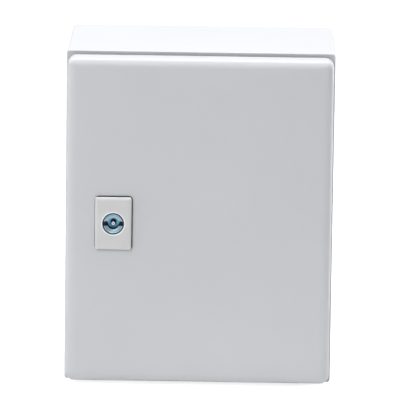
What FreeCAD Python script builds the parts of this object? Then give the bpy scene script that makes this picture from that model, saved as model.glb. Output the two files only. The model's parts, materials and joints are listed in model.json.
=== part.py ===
"""Small wall-mounted steel enclosure with one hinged door and a quarter-turn lock.

The origin is the centre of the four wall holes, on the back face. +Z is up, +X is right as
the door is looked at, and the door faces -Y. Lengths are in millimetres, angles in degrees.
"""
import FreeCAD, Part
import math
import os
import re
import Sketcher

# The driving dimensions. Every length below is worked out from these.
SIZES = {
    # Overall size, with the door closed and without the lock
    "width": 200.0,
    "height": 250.0,
    "depth": 150.0,
    # Sheet metal of the body
    "gauge": 1.2,
    "body_corner": 2.6,
    "bend_outer": 2.0,
    "bend_inner": 0.8,
    # Front channel and sealing lip of the body
    "lip_inset": 18.0,
    "lip_rise": 14.0,
    "lip_return": 6.0,
    "lip_corner": 4.0,
    "mouth_corner": 3.0,
    # Back of the body
    "tray_depth": 12.0,
    "tray_corner": 2.0,
    "wall_hole_inset": 25.0,
    "wall_hole": 8.5,
    # Door
    "door_gauge": 1.2,
    "door_flange": 18.0,
    "door_gap": 3.0,
    "door_inset_side": 1.3,
    "door_inset_end": 2.7,
    "door_corner": 9.5,
    "door_bend": 3.5,
    # Door gasket
    "gasket_width": 8.0,
    "gasket_gap": 0.3,
    "gasket_corner": 10.0,
    "gasket_crown": 1.6,
    # Mounting plate and what carries it
    "plate_margin": 30.0,
    "plate_gauge": 2.0,
    "plate_edge": 9.0,
    "plate_standoff": 22.0,
    "plate_bend": 3.0,
    "stud_inset": 10.0,
    "stud_dia": 6.0,
    "stud_length": 33.0,
    "spacer_dia": 12.0,
    "washer_dia": 12.5,
    "washer_gauge": 1.6,
    "nut_flats": 10.0,
    "nut_height": 5.0,
    "stud_play": 0.3,
    "thread_play": 0.05,
    "end_chamfer": 0.8,
    # Floor opening and its gland plate
    "gland_side": 40.0,
    "gland_back": 30.0,
    "gland_front": 29.0,
    "gland_corner": 5.0,
    "gland_rim": 12.0,
    "gland_gasket_gauge": 2.0,
    "gland_plate_gauge": 2.0,
    "gland_stud_dia": 5.0,
    "gland_stud_length": 14.0,
    "gland_washer_dia": 10.0,
    "gland_washer_gauge": 1.0,
    "gland_nut_flats": 8.0,
    "gland_nut_height": 4.0,
    # Earth studs
    "earth_length": 15.0,
    "body_earth_setback": 29.0,
    "body_earth_rise": 30.0,
    "door_earth_inset": 45.0,
    "door_earth_rise": 37.0,
    # Hinges
    "hinge_side": 6.0,
    "hinge_rise": 12.0,
    "hinge_end": 40.0,
    "pin_dia": 4.0,
    "pin_play": 0.05,
    "pin_head_dia": 5.6,
    "pin_head_height": 1.0,
    "knuckle_dia": 7.2,
    "knuckle_height": 10.0,
    "body_knuckle_height": 13.4,
    "knuckle_gap": 0.3,
    "leaf_gauge": 2.0,
    "leaf_height": 36.0,
    "leaf_inward": 10.0,
    "body_leaf_outward": 4.0,
    "door_leaf_setback": 0.2,
    "web_gauge": 2.5,
    "notch_height": 41.0,
    "notch_depth": 14.5,
    "hinge_screw_dia": 4.0,
    "hinge_screw_pitch": 26.0,
    "hinge_screw_inward": 6.0,
    "hinge_screw_head_dia": 7.0,
    "hinge_screw_head_height": 2.2,
    "hinge_nut_flats": 7.0,
    "hinge_nut_height": 3.2,
    # Lock
    "lock_inset": 36.5,
    "lock_drop": 1.6,
    "lock_plate_width": 27.2,
    "lock_plate_height": 39.8,
    "lock_plate_corner": 2.5,
    "lock_plate_gauge": 2.6,
    "lock_plate_round": 1.5,
    "lock_seal_gauge": 0.6,
    "lock_seal_margin": 0.55,
    "lock_seal_right": 0.25,
    "lock_seal_up": 0.15,
    "lock_seal_play": 0.5,
    "sleeve_dia": 18.0,
    "sleeve_play": 0.15,
    "lock_nut_flats": 22.0,
    "lock_nut_height": 4.0,
    "insert_head_dia": 15.0,
    "insert_head_height": 1.8,
    "insert_head_play": 0.6,
    "insert_recess": 0.2,
    "insert_rim": 0.35,
    "insert_dish": 1.1,
    "insert_dia": 13.0,
    "insert_play": 0.06,
    "socket_dia": 8.8,
    "socket_depth": 8.4,
    "socket_wing": 3.4,
    "wing_front": 3.2,
    "key_reach": 5.3,
    "socket_pin_dia": 3.0,
    "socket_pin_recess": 0.5,
    "socket_pin_dimple": 0.5,
    "ring_section": 1.4,
    "ring_setback": 0.7,
    "square_side": 8.0,
    "square_play": 0.1,
    "cam_gap": 0.3,
    "cam_clearance": 0.9,
    "cam_gauge": 3.0,
    "cam_reach": 17.0,
    "cam_width": 14.0,
    "cam_top": 9.0,
    "cam_ramp": 1.4,
    "cam_washer_dia": 13.0,
    "cam_washer_gauge": 1.2,
    "cam_screw_dia": 5.0,
    "cam_screw_head_dia": 8.5,
    "cam_screw_head_height": 3.5,
}

# Lengths that follow from the driving dimensions.
FORMULAS = {
    # Distances from the wall to planes across the box
    "shoulder_y": "depth - door_flange - door_gap",
    "lip_front_y": "shoulder_y + lip_rise",
    "door_inner_y": "depth - door_gauge",
    # Rectangles seen from the front
    "inner_width": "width - 2*gauge",
    "inner_height": "height - 2*gauge",
    "lip_width": "width - 2*lip_inset",
    "lip_height": "height - 2*lip_inset",
    "mouth_width": "lip_width - 2*lip_return",
    "mouth_height": "lip_height - 2*lip_return",
    "door_width": "width - 2*door_inset_side",
    "door_height": "height - 2*door_inset_end",
    "gasket_outer_width": "lip_width - lip_return + gasket_width",
    "gasket_outer_height": "lip_height - lip_return + gasket_width",
    "gasket_depth": "door_inner_y - lip_front_y - gasket_gap",
    # Back of the body
    "wall_pitch_x": "width - 2*wall_hole_inset",
    "wall_pitch_z": "height - 2*wall_hole_inset",
    # Mounting plate
    "plate_width": "width - 2*plate_margin",
    "plate_height": "height - 2*plate_margin",
    "stud_pitch_x": "plate_width - 2*stud_inset",
    "stud_pitch_z": "plate_height - 2*stud_inset",
    "plate_back_y": "gauge + plate_standoff",
    "plate_front_y": "plate_back_y + plate_gauge",
    "stud_hole": "stud_dia + 2*stud_play",
    "nut_bore": "stud_dia + 2*thread_play",
    # Gland plate, seen from above
    "gland_width": "width - 2*gland_side",
    "gland_depth": "shoulder_y - gland_back - gland_front",
    "gland_centre": "gland_back + gland_depth/2",
    "gland_outer_width": "gland_width + 2*gland_rim",
    "gland_outer_depth": "gland_depth + 2*gland_rim",
    "gland_stud_pitch_x": "gland_width + gland_rim",
    "gland_stud_pitch_y": "gland_depth + gland_rim",
    "gland_stack": "gland_gasket_gauge + gland_plate_gauge",
    "gland_stud_hole": "gland_stud_dia + 2*stud_play",
    "gland_nut_bore": "gland_stud_dia + 2*thread_play",
    # Earth studs
    "body_earth_y": "shoulder_y - body_earth_setback",
    "body_earth_z": "height/2 - body_earth_rise",
    "door_earth_x": "width/2 - door_earth_inset",
    "door_earth_z": "height/2 - door_earth_rise",
    # Hinge: the pivot, and the two sheets that its leaves sit on
    "hinge_pitch": "height - 2*hinge_end",
    "pivot_x": "width/2 - hinge_side",
    "pivot_y": "shoulder_y + hinge_rise",
    "pivot_to_door": "door_inner_y - pivot_y",
    "door_leaf_outward": "door_width/2 - door_bend - door_leaf_setback - pivot_x",
    "pin_bore": "pin_dia + 2*pin_play",
    "knuckle_start": "body_knuckle_height/2 + knuckle_gap",
    "knuckle_end": "knuckle_start + knuckle_height",
    "hinge_screw_hole": "hinge_screw_dia + 2*thread_play",
    # Lock: places along its axis, counted inwards from the door's outer face
    "lock_left": "width/2 - lock_inset",
    "lock_plate_face": "lock_seal_gauge + lock_plate_gauge",
    "cam_face": "depth - lip_front_y + gauge + cam_clearance",
    "sleeve_end": "cam_face - cam_gap",
    "cam_back": "cam_face + cam_gauge",
    "insert_face": "lock_plate_face - insert_recess",
    "insert_bore": "insert_dia + 2*insert_play",
    "ring_groove": "ring_section + 0.5*insert_play",
    "ring_front": "insert_face - socket_depth - ring_setback",
    "pin_tip": "insert_face - socket_pin_recess",
    "square_length": "cam_gauge - cam_gap",
    "lock_nut_bore": "sleeve_dia + 2*thread_play",
}

# The name of each hinge, and its side of the middle of the door: above or below.
HINGES = (("upper", 1), ("lower", -1))

NAMES = sorted({**SIZES, **FORMULAS}, key=len, reverse=True)
NAME_PATTERN = re.compile(r"\b(" + "|".join(NAMES) + r")\b")

doc = FreeCAD.newDocument("wall_enclosure")
sheet = doc.addObject("Spreadsheet::Sheet", "Sizes")
for row, (alias, number) in enumerate(SIZES.items(), start=1):
    sheet.set(f"A{row}", alias)
    sheet.set(f"B{row}", str(number))
    sheet.setAlias(f"B{row}", alias)
doc.recompute()


def cells(text):
    """Write an expression on size names as one on the sheet's cells."""
    def spell(match):
        name = match.group(1)
        if name in FORMULAS:
            return "(" + cells(FORMULAS[name]) + ")"
        return "Sizes." + name
    return NAME_PATTERN.sub(spell, text)


def value(text):
    """The number that an expression on size names gives now."""
    return float(sheet.evalExpression(cells(text)))


def bind(item, target, text):
    """Tie a property to an expression on size names."""
    item.setExpression(target, cells(text))


# Bodies and their sketches

def new_body(label, at=("0", "0", "0"), axis=None, turn=0.0):
    """An empty body whose own frame stands at a point, turned about an axis."""
    body = doc.addObject("PartDesign::Body", label)
    body.Label = label
    if axis:
        body.Placement = FreeCAD.Placement(FreeCAD.Vector(), FreeCAD.Rotation(axis, turn))
    for name, text in zip("xyz", at):
        if text != "0":
            bind(body, f"Placement.Base.{name}", text)
    return body


def origin_item(body, role):
    """A plane or axis of a body's own origin."""
    return next(item for item in body.Origin.OriginFeatures if item.Role == role)


def new_sketch(body, role, name, offset="0"):
    """A sketch on an origin plane, moved along the plane's normal by an offset.

    The front plane XZ has its normal towards -Y, so a pad on it grows towards the viewer.
    """
    sketch = body.newObject("Sketcher::SketchObject", name)
    sketch.AttachmentSupport = [(origin_item(body, role), "")]
    sketch.MapMode = "FlatFace"
    if offset != "0":
        bind(sketch, "AttachmentOffset.Base.z", offset)
    return sketch


def dimension(sketch, kind, references, text):
    """A driving dimension of a sketch, tied to an expression."""
    index = sketch.addConstraint(Sketcher.Constraint(kind, *references, value(text)))
    name = f"size_{index}"
    sketch.renameConstraint(index, name)
    bind(sketch, f"Constraints.{name}", text)


def pin_point(sketch, item, end, across, up):
    """Fix a point of a sketch at its two coordinates."""
    for kind, text, axis in (("DistanceX", across, -2), ("DistanceY", up, -1)):
        if text == "0":
            sketch.addConstraint(Sketcher.Constraint("PointOnObject", item, end, axis))
        else:
            dimension(sketch, kind, (-1, 1, item, end), text)


def circle(sketch, diameter, across="0", up="0"):
    """A circle given by its diameter and centre."""
    centre = FreeCAD.Vector(value(across), value(up), 0)
    item = sketch.addGeometry(Part.Circle(centre, FreeCAD.Vector(0, 0, 1), value(diameter) / 2))
    dimension(sketch, "Diameter", (item,), diameter)
    pin_point(sketch, item, 3, across, up)


def outline(sketch, points):
    """A closed outline of straight lines through points given as pairs of expressions."""
    places = [FreeCAD.Vector(value(across), value(up), 0) for across, up in points]
    count = len(points)
    lines = [
        sketch.addGeometry(Part.LineSegment(places[i], places[(i + 1) % count]))
        for i in range(count)
    ]
    for i, line in enumerate(lines):
        following = lines[(i + 1) % count]
        sketch.addConstraint(Sketcher.Constraint("Coincident", line, 2, following, 1))
    for line, (across, up) in zip(lines, points):
        pin_point(sketch, line, 1, across, up)


def block(sketch, left, right, low, high):
    """A plain rectangle between four expressions."""
    outline(sketch, ((left, low), (right, low), (right, high), (left, high)))


def hexagon(sketch, flats):
    """A hexagon about the origin with two of its flats facing left and right."""
    side = f"({flats})/2"
    top = f"({flats})/sqrt(3)"
    near = f"({flats})/sqrt(12)"
    outline(sketch, (
        (side, "-" + near), (side, near), ("0", top),
        ("-" + side, near), ("-" + side, "-" + near), ("0", "-" + top),
    ))


def rounded_rectangle(sketch, across, up, radius):
    """A rectangle with round corners about the origin, with its sides tangent to the corners."""
    half_x = value(across) / 2
    half_y = value(up) / 2
    round_off = value(radius)
    normal = FreeCAD.Vector(0, 0, 1)
    lines = []
    arcs = []
    for quarter in range(4):
        # The side right, above, left and below in turn, then the corner that follows it
        turn = math.pi / 2 * quarter
        run = half_x if quarter % 2 == 0 else half_y
        rise = half_y if quarter % 2 == 0 else half_x
        spin = FreeCAD.Rotation(normal, 90 * quarter)
        start = spin.multVec(FreeCAD.Vector(run, round_off - rise, 0))
        end = spin.multVec(FreeCAD.Vector(run, rise - round_off, 0))
        centre = spin.multVec(FreeCAD.Vector(run - round_off, rise - round_off, 0))
        corner = Part.Circle(centre, normal, round_off)
        lines.append(sketch.addGeometry(Part.LineSegment(start, end)))
        arcs.append(sketch.addGeometry(Part.ArcOfCircle(corner, turn, turn + math.pi / 2)))
    for quarter in range(4):
        following = lines[(quarter + 1) % 4]
        kind = "Vertical" if quarter % 2 == 0 else "Horizontal"
        sketch.addConstraint(Sketcher.Constraint("Tangent", lines[quarter], 2, arcs[quarter], 1))
        sketch.addConstraint(Sketcher.Constraint("Tangent", arcs[quarter], 2, following, 1))
        sketch.addConstraint(Sketcher.Constraint(kind, lines[quarter]))
    for arc in arcs[1:]:
        sketch.addConstraint(Sketcher.Constraint("Equal", arcs[0], arc))
    sketch.addConstraint(Sketcher.Constraint("Symmetric", arcs[0], 3, arcs[2], 3, -1, 1))
    dimension(sketch, "Radius", (arcs[0],), radius)
    dimension(sketch, "DistanceX", (lines[2], 1, lines[0], 2), across)
    dimension(sketch, "DistanceY", (lines[3], 1, lines[1], 2), up)


def strip_with_arcs(sketch, across, top, bottom):
    """A strip of even width about the origin that ends in arcs centred on the origin."""
    half = value(across) / 2
    normal = FreeCAD.Vector(0, 0, 1)
    radii = [value(top), value(bottom)]
    heights = [math.sqrt(radius * radius - half * half) for radius in radii]
    angles = [math.atan2(height, half) for height in heights]
    upper = Part.Circle(FreeCAD.Vector(), normal, radii[0])
    lower = Part.Circle(FreeCAD.Vector(), normal, radii[1])
    right = sketch.addGeometry(Part.LineSegment(
        FreeCAD.Vector(half, -heights[1], 0), FreeCAD.Vector(half, heights[0], 0)))
    above = sketch.addGeometry(Part.ArcOfCircle(upper, angles[0], math.pi - angles[0]))
    left = sketch.addGeometry(Part.LineSegment(
        FreeCAD.Vector(-half, heights[0], 0), FreeCAD.Vector(-half, -heights[1], 0)))
    below = sketch.addGeometry(Part.ArcOfCircle(lower, math.pi + angles[1], -angles[1]))
    ring = (right, above, left, below)
    for item, following in zip(ring, ring[1:] + ring[:1]):
        sketch.addConstraint(Sketcher.Constraint("Coincident", item, 2, following, 1))
    for arc in (above, below):
        sketch.addConstraint(Sketcher.Constraint("Coincident", arc, 3, -1, 1))
    for line in (right, left):
        sketch.addConstraint(Sketcher.Constraint("Vertical", line))
    dimension(sketch, "Radius", (above,), top)
    dimension(sketch, "Radius", (below,), bottom)
    dimension(sketch, "DistanceX", (-1, 1, right, 1), f"({across})/2")
    dimension(sketch, "DistanceX", (left, 1, -1, 1), f"({across})/2")


# Features

def pad(body, sketch, length, middle=False, inwards=False):
    """Add material along a sketch's normal, about its plane or against its normal."""
    feature = body.newObject("PartDesign::Pad", sketch.Name + "_pad")
    feature.Profile = sketch
    feature.Midplane = middle
    feature.Reversed = inwards
    bind(feature, "Length", length)
    doc.recompute()
    return feature


def pocket(body, sketch, length=None, middle=False, inwards=False):
    """Cut along a sketch's normal, or right through, and make sure that something was cut."""
    before = body.Shape.Volume
    feature = body.newObject("PartDesign::Pocket", sketch.Name + "_cut")
    feature.Profile = sketch
    feature.Midplane = middle
    feature.Reversed = not inwards
    if length is None:
        feature.Type = "ThroughAll"
    else:
        bind(feature, "Length", length)
    doc.recompute()
    if body.Shape.Volume > before - 1e-6:
        raise ValueError(f"{feature.Name} cuts nothing from {body.Label}")
    return feature


def turn_profile(body, name, points, cut=False):
    """Revolve a profile of (radius, distance forwards) pairs about the body's own Y axis."""
    sketch = new_sketch(body, "XY_Plane", name)
    outline(sketch, [(radius, f"-({forward})") for radius, forward in points])
    kind = "PartDesign::Groove" if cut else "PartDesign::Revolution"
    before = body.Shape.Volume if cut else 0.0
    feature = body.newObject(kind, name + "_turn")
    feature.Profile = sketch
    feature.ReferenceAxis = (sketch, ["V_Axis"])
    feature.Angle = 360.0
    doc.recompute()
    if cut and body.Shape.Volume > before - 1e-6:
        raise ValueError(f"{feature.Name} cuts nothing from {body.Label}")
    return feature


def repeat(body, features, across=None, up=None):
    """Repeat features two times across (along X), two times up (along Z), or both."""
    feature = body.newObject("PartDesign::LinearPattern", body.Name + "_pattern")
    feature.Originals = features
    pitches = [(role, text) for role, text in (("X_Axis", across), ("Z_Axis", up)) if text]
    for suffix, (role, text) in zip(("", "2"), pitches):
        setattr(feature, "Direction" + suffix, (origin_item(body, role), [""]))
        setattr(feature, "Occurrences" + suffix, 2)
        bind(feature, "Length" + suffix, text)
    body.Tip = feature
    doc.recompute()
    return feature


def edge_names(shape, test):
    """The edges whose box, as (low, high) corners, passes a test."""
    names = []
    for index, edge in enumerate(shape.Edges, start=1):
        box = edge.BoundBox
        low = FreeCAD.Vector(box.XMin, box.YMin, box.ZMin)
        high = FreeCAD.Vector(box.XMax, box.YMax, box.ZMax)
        if test(low, high):
            names.append(f"Edge{index}")
    return names


def blend(body, name, radius, test, kind="Fillet"):
    """Round or chamfer the edges of the body's last shape that pass a test."""
    base = body.Tip
    names = edge_names(base.Shape, test)
    if not names:
        raise ValueError(f"{name} finds no edge on {body.Label}")
    feature = body.newObject("PartDesign::" + kind, name)
    feature.Base = (base, names)
    bind(feature, "Radius" if kind == "Fillet" else "Size", radius)
    doc.recompute()
    return feature


TOUCH = 0.01


def near(number, wanted):
    return abs(number - wanted) < TOUCH


def ring_at(plane_y, half_x, half_z):
    """A test for the edges of a rectangle about the Y axis in one plane across the box."""
    depth_there = -value(plane_y)
    reach_x = value(half_x)
    reach_z = value(half_z)

    def test(low, high):
        if not (near(low.y, depth_there) and near(high.y, depth_there)):
            return False
        on_side = near(abs(low.x), reach_x) and near(low.x, high.x)
        on_end = near(abs(low.z), reach_z) and near(low.z, high.z)
        return on_side or on_end
    return test


# Body of the enclosure

def make_body_wrap():
    """Sides, top and floor, folded in at the front to a channel and a lip round the mouth."""
    body = new_body("body_wrap")
    outside = new_sketch(body, "XZ_Plane", "wrap_outside")
    rounded_rectangle(outside, "width", "height", "body_corner")
    pad(body, outside, "shoulder_y")
    inside = new_sketch(body, "XZ_Plane", "wrap_inside")
    rounded_rectangle(inside, "inner_width", "inner_height", "body_corner - gauge")
    pocket(body, inside, "shoulder_y - gauge")
    lip = new_sketch(body, "XZ_Plane", "lip_outside", "shoulder_y - gauge")
    rounded_rectangle(lip, "lip_width", "lip_height", "lip_corner")
    pad(body, lip, "lip_rise + gauge")
    channel = new_sketch(body, "XZ_Plane", "lip_inside", "shoulder_y - gauge")
    rounded_rectangle(channel, "lip_width - 2*gauge", "lip_height - 2*gauge", "lip_corner - gauge")
    pocket(body, channel, "lip_rise")
    mouth = new_sketch(body, "XZ_Plane", "mouth", "shoulder_y - gauge")
    rounded_rectangle(mouth, "mouth_width", "mouth_height", "mouth_corner")
    pocket(body, mouth, "lip_rise + 2*gauge")
    floor = new_sketch(body, "XY_Plane", "floor_opening", "-height/2")
    left = "-gland_width/2"
    near_wall = "gland_depth/2 - gland_centre"
    near_door = "-gland_depth/2 - gland_centre"
    block(floor, left, "gland_width/2", near_door, near_wall)
    pocket(body, floor, "2*gauge")
    for label, side in HINGES:
        for end in (1, -1):
            name = f"{label}_hole_{'above' if end > 0 else 'below'}"
            hole = new_sketch(body, "XZ_Plane", name, "shoulder_y - 2*gauge")
            circle(
                hole, "hinge_screw_hole", "pivot_x - hinge_screw_inward",
                f"{side}*hinge_pitch/2 + {end}*hinge_screw_pitch/2",
            )
            pocket(body, hole, "3*gauge")
    half_gland = value("gland_width/2")
    blend(body, "floor_opening_corners", "gland_corner", lambda low, high: (
        near(high.z - low.z, value("gauge"))
        and near(abs(low.x), half_gland) and near(low.x, high.x)
    ))
    blend(body, "front_bend", "bend_outer", ring_at("shoulder_y", "width/2", "height/2"))
    blend(body, "front_bend_inside", "bend_inner", ring_at(
        "shoulder_y - gauge", "inner_width/2", "inner_height/2"))
    blend(body, "lip_bend", "bend_outer", ring_at("lip_front_y", "lip_width/2", "lip_height/2"))
    blend(body, "lip_bend_inside", "bend_inner", ring_at(
        "lip_front_y - gauge", "lip_width/2 - gauge", "lip_height/2 - gauge"))
    blend(body, "lip_root", "bend_inner", ring_at("shoulder_y", "lip_width/2", "lip_height/2"))
    blend(body, "lip_root_inside", "bend_outer", ring_at(
        "shoulder_y - gauge", "lip_width/2 - gauge", "lip_height/2 - gauge"))
    return body


def make_rear_panel():
    """A shallow tray seated in the back of the wrap, with the four holes for the wall."""
    body = new_body("rear_panel")
    outside = new_sketch(body, "XZ_Plane", "tray_outside")
    rounded_rectangle(outside, "inner_width", "inner_height", "tray_corner")
    pad(body, outside, "tray_depth")
    inside = new_sketch(body, "XZ_Plane", "tray_inside", "gauge")
    rounded_rectangle(inside, "inner_width - 2*gauge", "inner_height - 2*gauge", "tray_corner - gauge")
    pocket(body, inside, "tray_depth")
    blend(body, "tray_bend", "bend_inner + gauge/2", ring_at("0", "inner_width/2", "inner_height/2"))
    hole = new_sketch(body, "XZ_Plane", "wall_hole_low")
    circle(hole, "wall_hole", "-wall_pitch_x/2", "-wall_pitch_z/2")
    first = pocket(body, hole, "2*gauge")
    repeat(body, [first], "wall_pitch_x", "wall_pitch_z")
    return body


# Fasteners: each is one group of like pieces, in its own frame with the axis along Y

def stud_points(radius, start, end):
    """The half section of a round bar with a chamfer at its far end."""
    return (
        ("0", start), (radius, start), (radius, f"{end} - end_chamfer"),
        (f"{radius} - end_chamfer", end), ("0", end),
    )


def make_studs(label, diameter, start, end, at, across=None, up=None, axis=None, turn=0.0):
    """Plain studs from one distance to another."""
    body = new_body(label, at, axis, turn)
    bar = turn_profile(body, label + "_bar", stud_points(f"{diameter}/2", start, end))
    if across or up:
        repeat(body, [bar], across, up)
    return body


def make_rings(label, outer, bore, start, height, at, across=None, up=None, axis=None, turn=0.0):
    """Plain washers or sleeves."""
    body = new_body(label, at, axis, turn)
    section = new_sketch(body, "XZ_Plane", label + "_section", start)
    circle(section, outer)
    circle(section, bore)
    ring = pad(body, section, height)
    if across or up:
        repeat(body, [ring], across, up)
    return body


def make_nuts(label, flats, bore, start, height, at, across=None, up=None, axis=None, turn=0.0):
    """Hexagon nuts with the front corners turned off."""
    body = new_body(label, at, axis, turn)
    section = new_sketch(body, "XZ_Plane", label + "_section", start)
    hexagon(section, flats)
    circle(section, bore)
    prism = pad(body, section, height)
    front = f"{start} + {height}"
    corner = f"{flats}/sqrt(3)"
    drop = f"({corner} - {flats}/2)"
    chamfer = turn_profile(body, label + "_corner", (
        (f"{flats}/2", front), (f"{corner} + {drop}", front), (f"{corner} + {drop}", f"{front} - {drop}"),
    ), cut=True)
    if across or up:
        repeat(body, [prism, chamfer], across, up)
    return body


def make_plate_fasteners():
    """Weld studs, spacer sleeves, washers and nuts that carry the mounting plate."""
    at = ("-stud_pitch_x/2", "0", "-stud_pitch_z/2")
    pitch = ("stud_pitch_x", "stud_pitch_z")
    washer_y = "plate_front_y"
    nut_y = "plate_front_y + washer_gauge"
    return [
        make_studs("plate_studs", "stud_dia", "gauge", "gauge + stud_length", at, *pitch),
        make_rings("plate_spacers", "spacer_dia", "stud_hole", "gauge", "plate_standoff", at, *pitch),
        make_rings("plate_washers", "washer_dia", "stud_hole", washer_y, "washer_gauge", at, *pitch),
        make_nuts("plate_nuts", "nut_flats", "nut_bore", nut_y, "nut_height", at, *pitch),
    ]


def make_mounting_plate():
    """A flat plate whose two long edges are folded back towards the wall."""
    body = new_body("mounting_plate")
    section = new_sketch(body, "XY_Plane", "plate_section")
    side = "plate_width/2"
    web = f"{side} - plate_gauge"
    fold = "-(plate_front_y - plate_edge)"
    outline(section, (
        ("-" + side, fold), ("-" + side, "-plate_front_y"), (side, "-plate_front_y"), (side, fold),
        (web, fold), (web, "-plate_back_y"), (f"-({web})", "-plate_back_y"), (f"-({web})", fold),
    ))
    pad(body, section, "plate_height", middle=True)
    half_height = value("plate_height/2")

    def corner(distance, reach):
        wanted_y = -value(distance)
        wanted_x = value(reach)
        return lambda low, high: (
            near(low.y, wanted_y) and near(high.y, wanted_y) and near(abs(low.x), wanted_x)
            and near(low.x, high.x) and near(high.z, half_height)
        )
    blend(body, "plate_bends", "plate_bend", corner("plate_front_y", side))
    blend(body, "plate_bends_inside", "plate_bend - plate_gauge", corner("plate_back_y", web))
    hole = new_sketch(body, "XZ_Plane", "plate_hole", "plate_back_y - plate_gauge")
    circle(hole, "stud_hole", "-stud_pitch_x/2", "-stud_pitch_z/2")
    first = pocket(body, hole, "3*plate_gauge")
    repeat(body, [first], "stud_pitch_x", "stud_pitch_z")
    return body


# Gland plate: its frame stands on the floor, with the old forward direction turned to point up

FLOOR_FRAME = {"axis": FreeCAD.Vector(1, 0, 0), "turn": -90.0}
FLOOR_CENTRE = ("0", "-gland_centre", "gauge - height/2")


def make_gland_sheet(label, start, gauge, open_middle):
    """A rounded sheet over the floor opening with a hole at each corner."""
    body = new_body(label, FLOOR_CENTRE, **FLOOR_FRAME)
    outside = new_sketch(body, "XZ_Plane", label + "_outside", start)
    rounded_rectangle(outside, "gland_outer_width", "gland_outer_depth", "gland_corner")
    if open_middle:
        rounded_rectangle(outside, "gland_width", "gland_depth", "gland_corner")
    pad(body, outside, gauge)
    hole = new_sketch(body, "XZ_Plane", label + "_hole", start)
    circle(hole, "gland_stud_hole", "-gland_stud_pitch_x/2", "-gland_stud_pitch_y/2")
    first = pocket(body, hole, gauge)
    repeat(body, [first], "gland_stud_pitch_x", "gland_stud_pitch_y")
    return body


def make_gland_parts():
    """Gasket, blank plate, weld studs, washers and nuts over the floor opening."""
    at = (
        "-gland_stud_pitch_x/2",
        "-gland_centre - gland_stud_pitch_y/2",
        "gauge - height/2",
    )
    pattern = {"across": "gland_stud_pitch_x", "up": "gland_stud_pitch_y", **FLOOR_FRAME}
    nut_start = "gland_stack + gland_washer_gauge"
    return [
        make_gland_sheet("gland_gasket", "0", "gland_gasket_gauge", True),
        make_gland_sheet("gland_plate", "gland_gasket_gauge", "gland_plate_gauge", False),
        make_studs("gland_studs", "gland_stud_dia", "0", "gland_stud_length", at, **pattern),
        make_rings("gland_washers", "gland_washer_dia", "gland_stud_hole", "gland_stack",
                   "gland_washer_gauge", at, **pattern),
        make_nuts("gland_nuts", "gland_nut_flats", "gland_nut_bore", nut_start,
                  "gland_nut_height", at, **pattern),
    ]


def make_earth_set(prefix, at, axis, turn):
    """A weld stud with a washer and a nut for the earth strap, standing on a sheet."""
    return [
        make_studs(prefix + "_stud", "stud_dia", "0", "earth_length", at, axis=axis, turn=turn),
        make_rings(prefix + "_washer", "washer_dia", "stud_hole", "0", "washer_gauge", at,
                   axis=axis, turn=turn),
        make_nuts(prefix + "_nut", "nut_flats", "nut_bore", "washer_gauge", "nut_height", at,
                  axis=axis, turn=turn),
    ]


# Hinges: each piece's frame stands at the pivot, at mid-height of its hinge

def hinge_place(side):
    return ("pivot_x", "-pivot_y", f"{side}*hinge_pitch/2")


def make_body_leaf(label, side):
    """A base plate on the channel's shoulder with a web out to the middle knuckle."""
    body = new_body(label, hinge_place(side))
    base = new_sketch(body, "XY_Plane", label + "_base")
    block(base, "-leaf_inward", "body_leaf_outward", "hinge_rise - leaf_gauge", "hinge_rise")
    pad(body, base, "leaf_height", middle=True)
    web = new_sketch(body, "XY_Plane", label + "_web")
    block(web, "-web_gauge/2", "web_gauge/2", "0", "hinge_rise - leaf_gauge/2")
    pad(body, web, "body_knuckle_height", middle=True)
    knuckle = new_sketch(body, "XY_Plane", label + "_knuckle")
    circle(knuckle, "knuckle_dia")
    pad(body, knuckle, "body_knuckle_height", middle=True)
    bore = new_sketch(body, "XY_Plane", label + "_bore")
    circle(bore, "pin_bore")
    pocket(body, bore, "2*body_knuckle_height", middle=True)
    screw = new_sketch(body, "XZ_Plane", label + "_screw_hole", "-hinge_rise - leaf_gauge")
    circle(screw, "hinge_screw_hole", "-hinge_screw_inward", "-hinge_screw_pitch/2")
    first = pocket(body, screw, "3*leaf_gauge")
    repeat(body, [first], up="hinge_screw_pitch")
    return body


def make_door_leaf(label, side):
    """A base plate on the door's inner face with two webs out to the end knuckles."""
    body = new_body(label, hinge_place(side))
    base = new_sketch(body, "XY_Plane", label + "_base")
    inner = "-pivot_to_door"
    block(base, "-leaf_inward", "door_leaf_outward", inner, f"{inner} + leaf_gauge")
    pad(body, base, "2*knuckle_end", middle=True)
    web = new_sketch(body, "XY_Plane", label + "_web", "knuckle_start")
    block(web, "-web_gauge/2", "web_gauge/2", f"{inner} + leaf_gauge/2", "0")
    upper_web = pad(body, web, "knuckle_height")
    knuckle = new_sketch(body, "XY_Plane", label + "_knuckle", "knuckle_start")
    circle(knuckle, "knuckle_dia")
    upper_knuckle = pad(body, knuckle, "knuckle_height")
    mirror = body.newObject("PartDesign::Mirrored", label + "_mirror")
    mirror.Originals = [upper_web, upper_knuckle]
    mirror.MirrorPlane = (origin_item(body, "XY_Plane"), [""])
    body.Tip = mirror
    doc.recompute()
    bore = new_sketch(body, "XY_Plane", label + "_bore")
    circle(bore, "pin_bore")
    pocket(body, bore, "3*knuckle_end", middle=True)
    stud = new_sketch(body, "XZ_Plane", label + "_stud_hole", "pivot_to_door - 2*leaf_gauge")
    circle(stud, "hinge_screw_hole", "-hinge_screw_inward", "-hinge_screw_pitch/2")
    first = pocket(body, stud, "3*leaf_gauge")
    repeat(body, [first], up="hinge_screw_pitch")
    return body


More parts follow.
